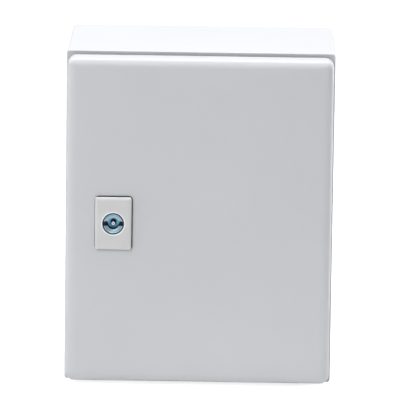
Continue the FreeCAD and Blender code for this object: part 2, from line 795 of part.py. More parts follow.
def make_hinge_pin(label, side):
    """A pin with a flat head that rests above the upper knuckle."""
    body = new_body(label, hinge_place(side), FreeCAD.Vector(1, 0, 0), -90.0)
    top = "knuckle_end + knuckle_gap"
    turn_profile(body, label + "_pin", (
        ("0", "-knuckle_end - knuckle_gap"), ("pin_dia/2", "-knuckle_end - knuckle_gap"),
        ("pin_dia/2", top), ("pin_head_dia/2", top),
        ("pin_head_dia/2", f"{top} + pin_head_height"), ("0", f"{top} + pin_head_height"),
    ))
    return body


def make_hinge_fasteners():
    """Screws and nuts of both body leaves, and weld studs and nuts of both door leaves."""
    across = "pivot_x - hinge_screw_inward"
    low = "-hinge_pitch/2 - hinge_screw_pitch/2"
    screws = new_body("body_hinge_screws", (across, "0", low))
    head = "shoulder_y + leaf_gauge"
    radius = "hinge_screw_dia/2"
    head_radius = "hinge_screw_head_dia/2"
    tail = "shoulder_y - gauge - hinge_nut_height - end_chamfer"
    screw = turn_profile(screws, "hinge_screw", (
        ("0", tail), (radius, tail), (radius, head), (head_radius, head),
        (head_radius, f"{head} + 0.6*hinge_screw_head_height"),
        (f"0.6*{head_radius}", f"{head} + hinge_screw_head_height"),
        ("0", f"{head} + hinge_screw_head_height"),
    ))
    repeat_pairs(screws, [screw])
    nuts = new_body("body_hinge_nuts", (across, "0", low))
    section = new_sketch(nuts, "XZ_Plane", "shoulder_nut", "shoulder_y - gauge - hinge_nut_height")
    hexagon(section, "hinge_nut_flats")
    circle(section, "hinge_screw_hole")
    repeat_pairs(nuts, [pad(nuts, section, "hinge_nut_height")])
    studs = new_body("door_hinge_studs", (across, "0", low))
    stud_end = "door_inner_y - leaf_gauge - hinge_nut_height - end_chamfer"
    bar = turn_profile(studs, "door_hinge_stud", (
        ("0", "door_inner_y"), (radius, "door_inner_y"), (radius, stud_end), ("0", stud_end),
    ))
    repeat_pairs(studs, [bar])
    caps = new_body("door_hinge_nuts", (across, "0", low))
    section = new_sketch(caps, "XZ_Plane", "door_nut", "door_inner_y - leaf_gauge - hinge_nut_height")
    hexagon(section, "hinge_nut_flats")
    circle(section, "hinge_screw_hole")
    repeat_pairs(caps, [pad(caps, section, "hinge_nut_height")])
    return [screws, nuts, studs, caps]


def repeat_pairs(body, features):
    """Repeat a fastener at both screws of both hinges, up from the lowest one."""
    feature = body.newObject("PartDesign::LinearPattern", body.Name + "_pattern")
    feature.Originals = features
    for suffix, pitch in (("", "hinge_screw_pitch"), ("2", "hinge_pitch")):
        setattr(feature, "Direction" + suffix, (origin_item(body, "Z_Axis"), [""]))
        setattr(feature, "Occurrences" + suffix, 2)
        bind(feature, "Length" + suffix, pitch)
    body.Tip = feature
    doc.recompute()


# Door

def make_door_panel():
    """A pan folded back on all four sides, notched at the hinges and bored for the lock."""
    body = new_body("door_panel")
    start = "depth - door_flange"
    outside = new_sketch(body, "XZ_Plane", "door_outside", start)
    rounded_rectangle(outside, "door_width", "door_height", "door_corner")
    pad(body, outside, "door_flange")
    blend(body, "door_bend_outside", "door_bend", ring_at("depth", "door_width/2", "door_height/2"))
    inside = new_sketch(body, "XZ_Plane", "door_inside", start)
    rounded_rectangle(
        inside, "door_width - 2*door_gauge", "door_height - 2*door_gauge",
        "door_corner - door_gauge",
    )
    pocket(body, inside, "door_flange - door_gauge")
    blend(body, "door_bend_inside", "door_bend - door_gauge", ring_at(
        "door_inner_y", "door_width/2 - door_gauge", "door_height/2 - door_gauge"))
    for label, side in HINGES:
        notch = new_sketch(body, "YZ_Plane", label + "_notch", "door_width/2 - 2*door_gauge")
        middle = f"{side}*hinge_pitch/2"
        block(
            notch, f"-({start}) - notch_depth", f"-({start}) + gauge",
            f"{middle} - notch_height/2", f"{middle} + notch_height/2",
        )
        pocket(body, notch, "4*door_gauge")
    hole = new_sketch(body, "XZ_Plane", "lock_hole", "door_inner_y - door_gauge")
    circle(hole, "sleeve_dia + 2*sleeve_play", "-lock_left", "-lock_drop")
    pocket(body, hole, "3*door_gauge")
    return body


def make_door_gasket():
    """A foamed ring on the door's inner face, opposite the body's lip."""
    body = new_body("door_gasket")
    ring = new_sketch(body, "XZ_Plane", "gasket_ring", "door_inner_y - gasket_depth")
    rounded_rectangle(ring, "gasket_outer_width", "gasket_outer_height", "gasket_corner")
    rounded_rectangle(
        ring, "gasket_outer_width - 2*gasket_width", "gasket_outer_height - 2*gasket_width",
        "gasket_corner - gasket_width",
    )
    pad(body, ring, "gasket_depth")
    blend(body, "gasket_crown_outside", "gasket_crown", ring_at(
        "door_inner_y - gasket_depth", "gasket_outer_width/2", "gasket_outer_height/2"))
    return body


# Lock: its frame stands on the door's outer face at the lock's axis, and -Y points outwards

LOCK_CENTRE = ("-lock_left", "-depth", "-lock_drop")


def make_lock_seal():
    """A flat rubber seal that shows as a thin line round the front plate."""
    centre = ("lock_seal_right - lock_left", "-depth", "lock_seal_up - lock_drop")
    body = new_body("lock_seal", centre)
    seal = new_sketch(body, "XZ_Plane", "lock_seal_outline")
    rounded_rectangle(
        seal, "lock_plate_width + 2*lock_seal_margin",
        "lock_plate_height + 2*lock_seal_margin", "lock_plate_corner + lock_seal_margin",
    )
    circle(seal, "sleeve_dia + 2*lock_seal_play", "-lock_seal_right", "-lock_seal_up")
    pad(body, seal, "lock_seal_gauge")
    return body


def make_lock_housing():
    """A front plate with rounded edges and the threaded sleeve that goes through the door."""
    body = new_body("lock_housing", LOCK_CENTRE)
    plate = new_sketch(body, "XZ_Plane", "lock_plate_outline", "lock_seal_gauge")
    rounded_rectangle(plate, "lock_plate_width", "lock_plate_height", "lock_plate_corner")
    pad(body, plate, "lock_plate_gauge")
    blend(body, "lock_plate_edge", "lock_plate_round", ring_at(
        "lock_plate_face", "lock_plate_width/2", "lock_plate_height/2"))
    sleeve = new_sketch(body, "XZ_Plane", "sleeve_section", "-sleeve_end")
    circle(sleeve, "sleeve_dia")
    pad(body, sleeve, "sleeve_end + lock_seal_gauge + 0.5*lock_plate_gauge")
    bore = new_sketch(body, "XZ_Plane", "sleeve_bore", "-sleeve_end")
    circle(bore, "insert_bore")
    pocket(body, bore, "sleeve_end + 2*lock_plate_face")
    seat = new_sketch(body, "XZ_Plane", "insert_seat", "insert_face - insert_head_height")
    circle(seat, "insert_head_dia + 2*insert_head_play")
    pocket(body, seat, "lock_plate_face")
    return body


def make_lock_insert():
    """The turning insert: a dished head, a barrel with the double-bit socket, a square end."""
    body = new_body("lock_insert", LOCK_CENTRE)
    head_back = "insert_face - insert_head_height"
    head = "insert_head_dia/2"
    radius = "insert_dia/2"
    groove = f"{radius} - ring_groove"
    turn_profile(body, "insert_barrel", (
        ("0", "insert_face - insert_dish"), ("socket_dia/2", "insert_face - insert_dish"),
        (f"{head} - insert_rim", "insert_face"), (head, "insert_face"), (head, head_back),
        (radius, head_back), (radius, "ring_front"), (groove, "ring_front"),
        (groove, "ring_front - ring_groove"), (radius, "ring_front - ring_groove"),
        (radius, "-cam_face"), ("0", "-cam_face"),
    ))
    floor = "insert_face - socket_depth"
    socket = new_sketch(body, "XZ_Plane", "socket_bore", floor)
    circle(socket, "socket_dia")
    pocket(body, socket, "socket_depth")
    wings = (("wing_at_rim", "insert_face - wing_front", "insert_head_dia"),
             ("wing_in_barrel", floor, "key_reach"))
    for name, start, reach in wings:
        wing = new_sketch(body, "XZ_Plane", name, start)
        block(wing, "-" + reach, reach, "-socket_wing/2", "socket_wing/2")
        pocket(body, wing, "socket_depth")
    turn_profile(body, "socket_pin", (
        ("0", f"{floor} - insert_play"), ("socket_pin_dia/2", f"{floor} - insert_play"),
        ("socket_pin_dia/2", "pin_tip - socket_pin_dimple"), ("socket_pin_dia/3", "pin_tip"),
        ("socket_pin_dia/6", "pin_tip"), ("0", "pin_tip - socket_pin_dimple"),
    ))
    square = new_sketch(body, "XZ_Plane", "cam_square", "-cam_face")
    block(square, "-square_side/2", "square_side/2", "-square_side/2", "square_side/2")
    pad(body, square, "square_length", inwards=True)
    thread = new_sketch(body, "XZ_Plane", "cam_screw_hole", "-cam_face - square_length")
    circle(thread, "cam_screw_dia + 2*thread_play")
    pocket(body, thread, "square_length + cam_gauge/2")
    return body


def make_lock_ring():
    """The O-ring in the barrel's groove."""
    ring = doc.addObject("Part::Torus", "lock_o_ring")
    ring.Label = "lock_o_ring"
    bind(ring, "Radius1", "insert_bore/2 - insert_play/2 - ring_section/2")
    bind(ring, "Radius2", "ring_section/2 - insert_play/2")
    middle = "ring_front - ring_groove/2"
    ring.Placement = FreeCAD.Placement(
        FreeCAD.Vector(), FreeCAD.Rotation(FreeCAD.Vector(1, 0, 0), 90.0))
    bind(ring, "Placement.Base.x", "-lock_left")
    bind(ring, "Placement.Base.y", f"-depth - ({middle})")
    bind(ring, "Placement.Base.z", "-lock_drop")
    return ring


def make_lock_cam():
    """A flat lever that hangs down when unlocked, with a ramped tip."""
    body = new_body("lock_cam", LOCK_CENTRE)
    lever = new_sketch(body, "XZ_Plane", "cam_outline", "-cam_back")
    strip_with_arcs(lever, "cam_width", "cam_top", "cam_reach")
    pad(body, lever, "cam_gauge")
    tip = value("-cam_reach")
    front = value("cam_face")
    blend(body, "cam_ramp_edge", "cam_ramp", lambda low, high: (
        near(low.z, tip) and near(low.y, front) and near(high.y, front)
    ), kind="Chamfer")
    square = new_sketch(body, "XZ_Plane", "cam_square_hole", "-cam_back - cam_gauge")
    half = "(square_side/2 + square_play)"
    block(square, f"-{half}", half, f"-{half}", half)
    pocket(body, square, "3*cam_gauge")
    return body


def make_cam_screw():
    """The screw that clamps the washer and the cam to the insert."""
    body = new_body("cam_screw", LOCK_CENTRE)
    seat = "-cam_back - cam_washer_gauge"
    back = f"{seat} - cam_screw_head_height"
    turn_profile(body, "cam_screw_bar", (
        ("0", "-cam_face + cam_gauge/4"), ("cam_screw_dia/2", "-cam_face + cam_gauge/4"),
        ("cam_screw_dia/2", seat), ("cam_screw_head_dia/2", seat), ("cam_screw_head_dia/2", back),
        ("0", back),
    ))
    key = new_sketch(body, "XZ_Plane", "cam_screw_key", back)
    hexagon(key, "cam_screw_dia*0.8")
    pocket(body, key, "cam_screw_head_height/2")
    return body


def make_lock():
    lock_nut_start = "-lock_nut_height - door_gauge"
    washer_start = "-cam_back - cam_washer_gauge"
    return [
        make_lock_seal(),
        make_lock_housing(),
        make_nuts("lock_nut", "lock_nut_flats", "lock_nut_bore", lock_nut_start,
                  "lock_nut_height", LOCK_CENTRE),
        make_lock_insert(),
        make_lock_ring(),
        make_lock_cam(),
        make_rings("cam_washer", "cam_washer_dia", "cam_screw_dia + 2*stud_play", washer_start,
                   "cam_washer_gauge", LOCK_CENTRE),
        make_cam_screw(),
    ]


def make_all():
    """Every piece of the enclosure, from the body to the lock."""
    pieces = [make_body_wrap(), make_rear_panel(), make_mounting_plate()]
    pieces += make_plate_fasteners()
    pieces += make_gland_parts()
    pieces += make_earth_set(
        "body_earth", ("gauge - width/2", "-body_earth_y", "-body_earth_z"),
        FreeCAD.Vector(0, 0, 1), 90.0)
    for label, side in HINGES:
        pieces.append(make_body_leaf("body_hinge_leaf_" + label, side))
        pieces.append(make_door_leaf("door_hinge_leaf_" + label, side))
        pieces.append(make_hinge_pin("hinge_pin_" + label, side))
    pieces += make_hinge_fasteners()
    pieces += [make_door_panel(), make_door_gasket()]
    pieces += make_earth_set(
        "door_earth", ("door_earth_x", "-door_inner_y", "-door_earth_z"),
        FreeCAD.Vector(0, 0, 1), 180.0)
    pieces += make_lock()
    return pieces


def check_document():
    """Stop if any object of the document failed."""
    for item in doc.Objects:
        if "Invalid" in item.State or "Error" in item.State:
            raise ValueError(f"{item.Name} failed: {item.State}")


def write_pieces(pieces):
    """Check each piece and write it to its own file."""
    os.makedirs("parts", exist_ok=True)
    for piece in pieces:
        shape = piece.Shape
        if shape.isNull() or not shape.isValid() or not shape.Solids:
            raise ValueError(f"{piece.Label} has no valid solid")
        shape.exportStep(os.path.join("parts", piece.Label + ".step"))
        print(f"{piece.Label}: {len(shape.Solids)} solids, {shape.Volume:.1f} mm3")


all_pieces = make_all()
doc.recompute()
check_document()
write_pieces(all_pieces)
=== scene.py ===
import json
import math

import bmesh
import bpy
from mathutils import Matrix, Vector, noise


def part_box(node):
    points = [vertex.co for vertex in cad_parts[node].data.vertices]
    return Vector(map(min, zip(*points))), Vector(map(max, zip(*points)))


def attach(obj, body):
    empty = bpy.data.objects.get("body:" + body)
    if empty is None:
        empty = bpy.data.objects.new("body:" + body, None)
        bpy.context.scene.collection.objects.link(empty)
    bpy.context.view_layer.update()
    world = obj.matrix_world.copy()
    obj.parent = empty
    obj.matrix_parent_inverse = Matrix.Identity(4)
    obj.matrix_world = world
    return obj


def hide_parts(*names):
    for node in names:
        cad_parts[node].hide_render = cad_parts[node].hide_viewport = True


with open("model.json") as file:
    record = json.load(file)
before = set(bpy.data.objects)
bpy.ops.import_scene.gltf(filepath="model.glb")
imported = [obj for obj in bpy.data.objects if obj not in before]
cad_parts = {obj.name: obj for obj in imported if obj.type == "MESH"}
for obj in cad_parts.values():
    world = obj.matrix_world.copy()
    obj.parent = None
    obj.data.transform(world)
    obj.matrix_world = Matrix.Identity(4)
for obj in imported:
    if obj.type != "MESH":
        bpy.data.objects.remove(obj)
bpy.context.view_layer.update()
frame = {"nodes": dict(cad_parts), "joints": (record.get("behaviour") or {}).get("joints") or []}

bl_info = {
    "name": "Steel wall enclosure",
    "version": (1, 0, 0),
    "blender": (4, 5, 0),
    "location": "3D View > Sidebar > Enclosure",
    "description": "Builds the finished pieces of a small steel wall enclosure",
    "category": "Add Mesh",
}

MM = 0.001
WHITE = (1.0, 1.0, 1.0, 1.0)

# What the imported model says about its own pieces
WRAP_LOW, WRAP_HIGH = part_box("body_wrap")
DOOR_LOW, DOOR_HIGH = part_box("door_panel")
TRAY_LOW, TRAY_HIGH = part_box("rear_panel")
GASKET_LOW, GASKET_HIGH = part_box("door_gasket")
JOINTS = {joint["name"]: joint for joint in frame["joints"]}
LOCK_X, LOCK_Y, LOCK_Z = JOINTS["lock_turn"]["pos_m"]
PIVOT_X, PIVOT_Y = JOINTS["door_hinge"]["pos_m"][:2]

# Turns from "built standing on Z" to the way that a piece faces
TO_FRONT = Matrix.Rotation(math.pi / 2, 4, "X")
TO_BACK = Matrix.Rotation(-math.pi / 2, 4, "X")
TO_RIGHT = Matrix.Rotation(math.pi / 2, 4, "Y")

# The two sides of a pair, as shares of the distance between them
SIDES = (-0.5, 0.5)

# Metric fasteners. Thread: radius and pitch. Nut: half its width across flats, bore radius and
# height. Washer: outer radius, bore radius and thickness.
M4_THREAD = (2.0 * MM, 0.7 * MM)
M5_THREAD = (2.5 * MM, 0.8 * MM)
M6_THREAD = (3.0 * MM, 1.0 * MM)
M4_NUT = (3.5 * MM, 2.05 * MM, 3.2 * MM)
M5_NUT = (4.0 * MM, 2.55 * MM, 4.0 * MM)
M6_NUT = (5.0 * MM, 3.05 * MM, 5.0 * MM)
M5_WASHER = (5.0 * MM, 2.8 * MM, 1.0 * MM)
M6_WASHER = (6.25 * MM, 3.3 * MM, 1.6 * MM)

# Lamps: name, place, what they face, width and height, and watts
LAMPS = (
    ("overhead strip", (0.0, -0.16, 1.5), (0.0, -0.15, 0.1), (1.4, 0.3), 23.5),
    ("key softbox", (-0.8, -1.76, 1.72), (0.0, -0.15, 0.0), (2.6, 2.6), 35.8),
    ("left fill", (-0.9, -0.35, -0.02), (0.0, -0.15, -0.06), (0.3, 0.18), 1.2),
    ("right softbox", (1.3, 0.45, 0.15), (0.0, -0.12, 0.0), (0.4, 0.4), 11.0),
)


def linear_colour(code):
    """An sRGB hex code as linear red, green and blue."""
    channels = [int(code[start:start + 2], 16) / 255 for start in (0, 2, 4)]
    return tuple(c / 12.92 if c <= 0.04045 else ((c + 0.055) / 1.055) ** 2.4 for c in channels)


def length(name, description, millimetres):
    """A size that a user may change, given in millimetres and held in metres."""
    return bpy.props.FloatProperty(
        name=name, description=description, default=millimetres * MM, unit="LENGTH", precision=5)


def tone(name, description, code):
    """A colour that a user may change, given as an sRGB hex code."""
    return bpy.props.FloatVectorProperty(
        name=name, description=description, default=linear_colour(code), subtype="COLOR",
        size=3, min=0.0, max=1.0)


# Sizes and colours

class EnclosureSheetSizes(bpy.types.PropertyGroup):
    """Sheet metal of the body, the rear tray and the door."""
    gauge: length("Sheet gauge", "Thickness of the folded sheet", 1.2)
    wrap_corner: length("Body corner", "Radius of the body's long corners", 2.6)
    bend_outer: length("Outer bend", "Outer radius of a fold", 2.0)
    bend_inner: length("Inner bend", "Inner radius of a fold", 0.8)
    front_bend: length("Front bend", "Outer radius of the body's front edge", 0.8)
    lip_inset: length("Lip inset", "From the body's side to the lip's outer face", 18.0)
    lip_front: length("Lip front", "From the wall to the lip's front face", 143.0)
    shoulder: length("Shoulder", "From the wall to the shoulder that the door closes over", 129.0)
    lip_return: length("Lip return", "Width of the lip's flat front", 6.0)
    lip_corner: length("Lip corner", "Corner radius of the lip", 4.0)
    mouth_corner: length("Mouth corner", "Corner radius of the mouth", 3.0)
    tray_corner: length("Tray corner", "Corner radius of the rear tray", 2.0)
    tray_bend: length("Tray bend", "Outer radius of the rear tray's fold", 1.4)
    wall_hole: length("Wall hole", "Diameter of the four holes for the wall", 8.5)
    wall_pitch_x: length("Wall hole pitch across", "Between the wall holes, across", 150.0)
    wall_pitch_z: length("Wall hole pitch up", "Between the wall holes, up", 200.0)
    door_corner: length("Door corner", "Corner radius of the door, seen from the front", 6.5)
    door_bend: length("Door bend", "Outer radius of the fold round the door's face", 3.5)
    door_crown: length("Door crown", "Where the door's face falls away towards its folds", 7.2)
    door_slope: bpy.props.FloatProperty(
        name="Door slope", description="How far the face leans back where its folds begin",
        subtype="ANGLE", default=math.radians(27))
    notch_height: length("Hinge notch height", "Height of the flange notch at each hinge", 41.0)
    notch_depth: length("Hinge notch depth", "Depth of the flange notch from the rim", 14.5)
    raw_edge: length("Raw edge", "Softening of a cut edge under the coating", 0.25)


class EnclosureGlandSizes(bpy.types.PropertyGroup):
    """Floor opening, gland plate and its fasteners."""
    opening_x: length("Opening width", "Width of the floor opening", 120.0)
    opening_low: length("Opening start", "From the wall to the opening", 30.0)
    opening_high: length("Opening end", "From the wall to the opening's far side", 100.0)
    corner: length("Corner", "Corner radius of the opening", 5.0)
    pitch_x: length("Stud pitch across", "Between the gland studs, across", 132.0)
    pitch_y: length("Stud pitch in depth", "Between the gland studs, front to back", 82.0)


class EnclosureFastenerSizes(bpy.types.PropertyGroup):
    """Studs, nuts and washers."""
    plate_pitch_x: length("Plate pitch across", "Between the mounting plate's studs, across", 120.0)
    plate_pitch_z: length("Plate pitch up", "Between the mounting plate's studs, up", 170.0)
    hinge_pitch: length("Hinge pitch", "Between the two hinges", 170.0)
    hinge_screw_pitch: length("Hinge screw pitch", "Between the screws of one hinge", 26.0)
    hinge_screw_inward: length("Hinge screw inset", "From the pivot to a hinge's screws", 6.0)


class EnclosureLockSizes(bpy.types.PropertyGroup):
    """Front plate, insert and cam of the lock."""
    plate_width: length("Plate width", "Width of the lock's front plate", 27.2)
    plate_height: length("Plate height", "Height of the lock's front plate", 39.8)
    plate_corner: length("Plate corner", "Corner radius of the front plate", 1.7)
    plate_round: length("Plate edge", "Radius round the front plate's face", 1.3)
    plate_crown: length("Plate crown", "Where the plate's face falls away to its edge", 3.4)
    plate_slope: bpy.props.FloatProperty(
        name="Plate slope", description="How far the plate's face leans back at its edge",
        subtype="ANGLE", default=math.radians(26))
    plate_back: length("Plate back", "From the door's face to the plate's back", 0.6)
    plate_face: length("Plate face", "From the door's face to the plate's face", 3.2)
    seat_radius: length("Seat radius", "Radius of the round seat in the plate", 8.15)
    seat_ring: length("Seat ring", "Width of the bare ring round the seat", 0.85)
    seat_rise: length("Seat rise", "How far that ring stands proud", 0.1)
    bore_radius: length("Bore radius", "Radius of the bore in the sleeve", 6.56)
    sleeve_radius: length("Sleeve radius", "Outer radius of the threaded sleeve", 9.0)
    sleeve_end: length("Sleeve end", "From the door's face to the sleeve's inner end", 8.8)
    head_radius: length("Insert head radius", "Radius of the insert's head", 7.5)
    insert_face: length("Insert face", "From the door's face to the insert's face", 3.0)
    head_height: length("Insert head height", "Thickness of the insert's head", 1.8)
    barrel_radius: length("Barrel radius", "Radius of the insert's barrel", 6.5)
    socket_radius: length("Socket radius", "Radius of the key socket", 4.4)
    socket_depth: length("Socket depth", "Depth of the key socket", 8.4)
    wing_width: length("Wing width", "Width of the two key wings", 3.4)
    pin_radius: length("Pin radius", "Radius of the socket's pin", 1.5)
    pin_root: length("Pin root", "Radius of the pin's thicker root", 2.2)


class EnclosureColours(bpy.types.PropertyGroup):
    """Colours of the coatings and of the bare metals, and of the painted light, shade and highlights in the
    lock.
    """
    coat: tone("Powder coat", "Body and door", "C8CACD")
    lock_plate: tone("Lock plate", "Coated die-casting", "CDCDCD")
    # Also the colour of the painted highlights on the insert's pin tip and head rim.
    seat: tone("Seat ring", "Bare turned metal round the insert, and painted highlights on it", "DADFE5")
    insert: tone("Insert", "Blue zinc on turned die-casting", "7D949F")
    # The socket's own blue is set to how its floor and the pin look down in the socket: painted light.
    insert_dark: tone("Key socket", "Blue zinc in the key socket", "6698B4")
    # Near black for the lock's gaps, wings, socket wall and pin root: painted shade, standing in for the
    # shadow down in them.
    insert_gap_shade: tone("Insert gap", "Painted shade in the wings and round the insert", "0A1A2C")
    zinc: tone("Zinc plating", "Studs, nuts, washers and the cam", "B4BAC2")
    galvanised: tone("Galvanised sheet", "Mounting plate", "B9BDC0")
    diecast: tone("Die-casting", "Hinge leaves", "97999B")
    foam: tone("Foamed gasket", "Door gasket", "2B2B2D")
    rubber: tone("Rubber", "Lock seal, O-ring and gland gasket", "1A1A1B")
    floor: tone("Floor", "Floor and backdrop", "DEDEDE")


class EnclosureStageSettings(bpy.types.PropertyGroup):
    """Camera and lamps."""
    lens: bpy.props.FloatProperty(
        name="Lens", description="Focal length in millimetres on a 36 mm sensor", default=441.9,
        min=1.0)
    yaw: bpy.props.FloatProperty(
        name="Yaw", description="Camera's turn to the right of +Y", subtype="ANGLE",
        default=math.radians(0.650))
    pitch: bpy.props.FloatProperty(
        name="Pitch", description="Camera's tilt below the horizon", subtype="ANGLE",
        default=math.radians(10.589))
    roll: bpy.props.FloatProperty(
        name="Roll", description="Camera's turn about its own axis", subtype="ANGLE",
        default=math.radians(0.7766))
    place: bpy.props.FloatVectorProperty(
        name="Camera place", description="Where the camera stands", subtype="TRANSLATION",
        unit="LENGTH", size=3, default=(0.04145, -3.73545, 0.68721))
    room_light: bpy.props.FloatProperty(
        name="Room light", description="Even light from all round", default=0.2, min=0.0)


# Nodes and materials

def add_node(tree, kind, inputs=None, **settings):
    """Add a node, set its properties, and set or link its inputs."""
    node = tree.nodes.new(kind)
    for name, setting in settings.items():
        setattr(node, name, setting)
    for key, given in (inputs or {}).items():
        if isinstance(given, bpy.types.NodeSocket):
            tree.links.new(given, node.inputs[key])
        else:
            node.inputs[key].default_value = given
    return node


def new_material(name, values):
    """A material whose Principled shader has plain numbers on its own sockets."""
    material = bpy.data.materials.new(name)
    material.use_nodes = True
    tree = material.node_tree
    shader = tree.nodes["Principled BSDF"]
    for key, number in values.items():
        shader.inputs[key].default_value = number
    place = add_node(tree, "ShaderNodeTexCoord").outputs["Object"]
    return material, tree, shader, place


def opaque(colour, factor=1.0):
    """A colour made lighter or darker by a factor, with full alpha."""
    return tuple(channel * factor for channel in colour) + (1.0,)


def lumps(place, grain, detail=2.0):
    """Inputs of a noise whose lumps are about one grain, in metres, across."""
    return {"Vector": place, "Scale": 1 / grain, "Detail": detail, "Roughness": 0.55}


def clouded_colour(tree, shader, noise_inputs, dark, light):
    """Base colour that drifts between two with a noise; gives that noise."""
    cloud = add_node(tree, "ShaderNodeTexNoise", noise_inputs).outputs["Fac"]
    shade = add_node(tree, "ShaderNodeMixRGB", {"Fac": cloud, "Color1": dark, "Color2": light})
    tree.links.new(shade.outputs["Color"], shader.inputs["Base Color"])
    return cloud


def skin_relief(tree, shader, noise_inputs, depth, strength):
    """Bumps of a real depth in metres, shaped by a noise."""
    height = add_node(tree, "ShaderNodeTexNoise", noise_inputs).outputs["Fac"]
    bump = add_node(tree, "ShaderNodeBump", {"Strength": strength, "Distance": depth, "Height": height})
    tree.links.new(bump.outputs["Normal"], shader.inputs["Normal"])


def seen_directly(tree):
    """One for a ray from the camera, off a mirror or through glass, and nought for the rest."""
    light = add_node(tree, "ShaderNodeLightPath").outputs
    seen = light["Is Camera Ray"]
    for kind in ("Is Glossy Ray", "Is Transmission Ray"):
        seen = add_node(tree, "ShaderNodeMath", {0: seen, 1: light[kind]}, operation="MAXIMUM").outputs[0]
    return seen


def make_powder_coat(name, colour):
    """Polyester powder coat, sprayed and baked: satin, with a fine orange peel."""
    # The melt levels to lumps of 1 to 2 mm, so highlights spread softly and never sharpen.
    material, tree, shader, place = new_material(name, {"Roughness": 0.42, "IOR": 1.5})
    cloud = add_node(tree, "ShaderNodeTexNoise", lumps(place, 90 * MM)).outputs["Fac"]
    drift = add_node(tree, "ShaderNodeMapRange", {"Value": cloud, "From Min": 0.3, "From Max": 0.7})
    shade = add_node(tree, "ShaderNodeMixRGB", {
        "Fac": drift.outputs["Result"], "Color1": opaque(colour, 0.985), "Color2": opaque(colour, 1.012)})
    tree.links.new(shade.outputs["Color"], shader.inputs["Base Color"])
    skin_relief(tree, shader, lumps(place, 1.8 * MM, 1.0), 0.02 * MM, 0.6)
    return material


def make_lock_coat(name, colour):
    """Coated die-casting: smoother and glossier than the sheet, and a neutral grey."""
    # The smooth casting leaves only ripples under a millimetre, so it shines more than the door.
    material, tree, shader, place = new_material(name, {"Roughness": 0.2, "IOR": 1.5})
    clouded_colour(tree, shader, lumps(place, 6 * MM), opaque(colour, 0.97), opaque(colour, 1.02))
    skin_relief(tree, shader, lumps(place, 0.9 * MM, 1.0), 0.01 * MM, 0.5)
    return material


def make_zinc_plate(name, colour):
    """Blue zinc plating on steel: bright, a little cloudy, with a cold tint."""
    # Its gloss is uneven in patches of about 2 mm, and the passivation gives the cold tint.
    material, tree, shader, place = new_material(name, {"Metallic": 1.0, "Roughness": 0.3})
    cold = tuple(channel * factor for channel, factor in zip(colour, (0.9, 0.95, 1.05)))
    cloud = clouded_colour(tree, shader, lumps(place, 2.2 * MM, 3.0), opaque(colour), opaque(cold))
    gloss = add_node(tree, "ShaderNodeMapRange", {"Value": cloud, "To Min": 0.22, "To Max": 0.42})
    tree.links.new(gloss.outputs["Result"], shader.inputs["Roughness"])
    skin_relief(tree, shader, lumps(place, 0.5 * MM), 0.01 * MM, 0.4)
    return material


def make_galvanised(name, colour):
    """Hot-dip galvanised sheet: zinc crystals, each with its own lightness and gloss."""
    # Spangle of this class is 6 to 9 mm across.
    material, tree, shader, place = new_material(name, {"Metallic": 1.0, "Roughness": 0.4})
    cells = add_node(tree, "ShaderNodeTexVoronoi", {
        "Vector": place, "Scale": 1 / (7.5 * MM), "Randomness": 1.0})
    grey = add_node(tree, "ShaderNodeRGBToBW", {"Color": cells.outputs["Color"]}).outputs["Val"]
    shade = add_node(tree, "ShaderNodeMixRGB", {
        "Fac": grey, "Color1": opaque(colour, 0.84), "Color2": opaque(colour, 1.1)})
    tree.links.new(shade.outputs["Color"], shader.inputs["Base Color"])
    gloss = add_node(tree, "ShaderNodeMapRange", {"Value": grey, "To Min": 0.3, "To Max": 0.5})
    tree.links.new(gloss.outputs["Result"], shader.inputs["Roughness"])
    skin_relief(tree, shader, lumps(place, 1.2 * MM), 0.015 * MM, 0.4)
    return material


def make_diecast(name, colour):
    """Zinc die-casting, tumbled: a satin grey skin with faint flow marks."""
    # Tumbling dulls it with dents of about 0.7 mm.
    material, tree, shader, place = new_material(name, {"Metallic": 0.85, "Roughness": 0.48})
    clouded_colour(tree, shader, lumps(place, 3 * MM, 3.0), opaque(colour, 0.88), opaque(colour, 1.08))
    skin_relief(tree, shader, lumps(place, 0.7 * MM, 3.0), 0.03 * MM, 0.6)
    return material


def make_rubber(name, colour, grain, depth, roughness):
    """Black rubber or closed-skin foam: matt, with pores under the skin."""
    material, tree, shader, place = new_material(
        name, {"Roughness": roughness, "Specular IOR Level": 0.35})
    pores = lumps(place, grain, 4.0)
    clouded_colour(tree, shader, pores, opaque(colour, 0.75), opaque(colour, 1.3))
    skin_relief(tree, shader, pores, depth, 0.8)
    return material


def make_turned_metal(name, colour):
    """Turned and blue-zinc plated insert: fine tool rings round the lock's axis."""
    # Real tool marks are finer than the render can show, so they are drawn further apart. A wave
    # texture makes ten rings in a length of pi.
    ring_gap = 0.69 * MM
    material, tree, shader, place = new_material(name, {"Metallic": 1.0, "Roughness": 0.3})
    centred = add_node(tree, "ShaderNodeMapping", {
        "Vector": place, "Location": (-LOCK_X, 0.0, -LOCK_Z), "Scale": (1.0, 0.0, 1.0)})
    rings = add_node(tree, "ShaderNodeTexWave", {
        "Vector": centred.outputs["Vector"], "Scale": math.pi / 10 / ring_gap, "Distortion": 0.0},
        wave_type="RINGS", rings_direction="SPHERICAL", wave_profile="SAW")
    cloud = clouded_colour(tree, shader, lumps(place, 1.6 * MM, 3.0),
                           opaque(colour, 0.85), opaque(colour, 1.1))
    gloss = add_node(tree, "ShaderNodeMapRange", {"Value": cloud, "To Min": 0.24, "To Max": 0.4})
    tree.links.new(gloss.outputs["Result"], shader.inputs["Roughness"])
    bump = add_node(tree, "ShaderNodeBump", {
        "Strength": 0.5, "Distance": 0.01 * MM, "Height": rings.outputs["Fac"]})
    tree.links.new(bump.outputs["Normal"], shader.inputs["Normal"])
    return material


def make_bare_ring(name, colour):
    """Bare metal where the seat was turned out of the coating; on the insert the same bright metal makes
    painted highlights on the pin's tip and the head's rim.
    """
    material, tree, shader, place = new_material(name, {"Metallic": 0.5, "Roughness": 0.45})
    clouded_colour(tree, shader, lumps(place, 0.9 * MM), opaque(colour, 0.93), opaque(colour))
    return material


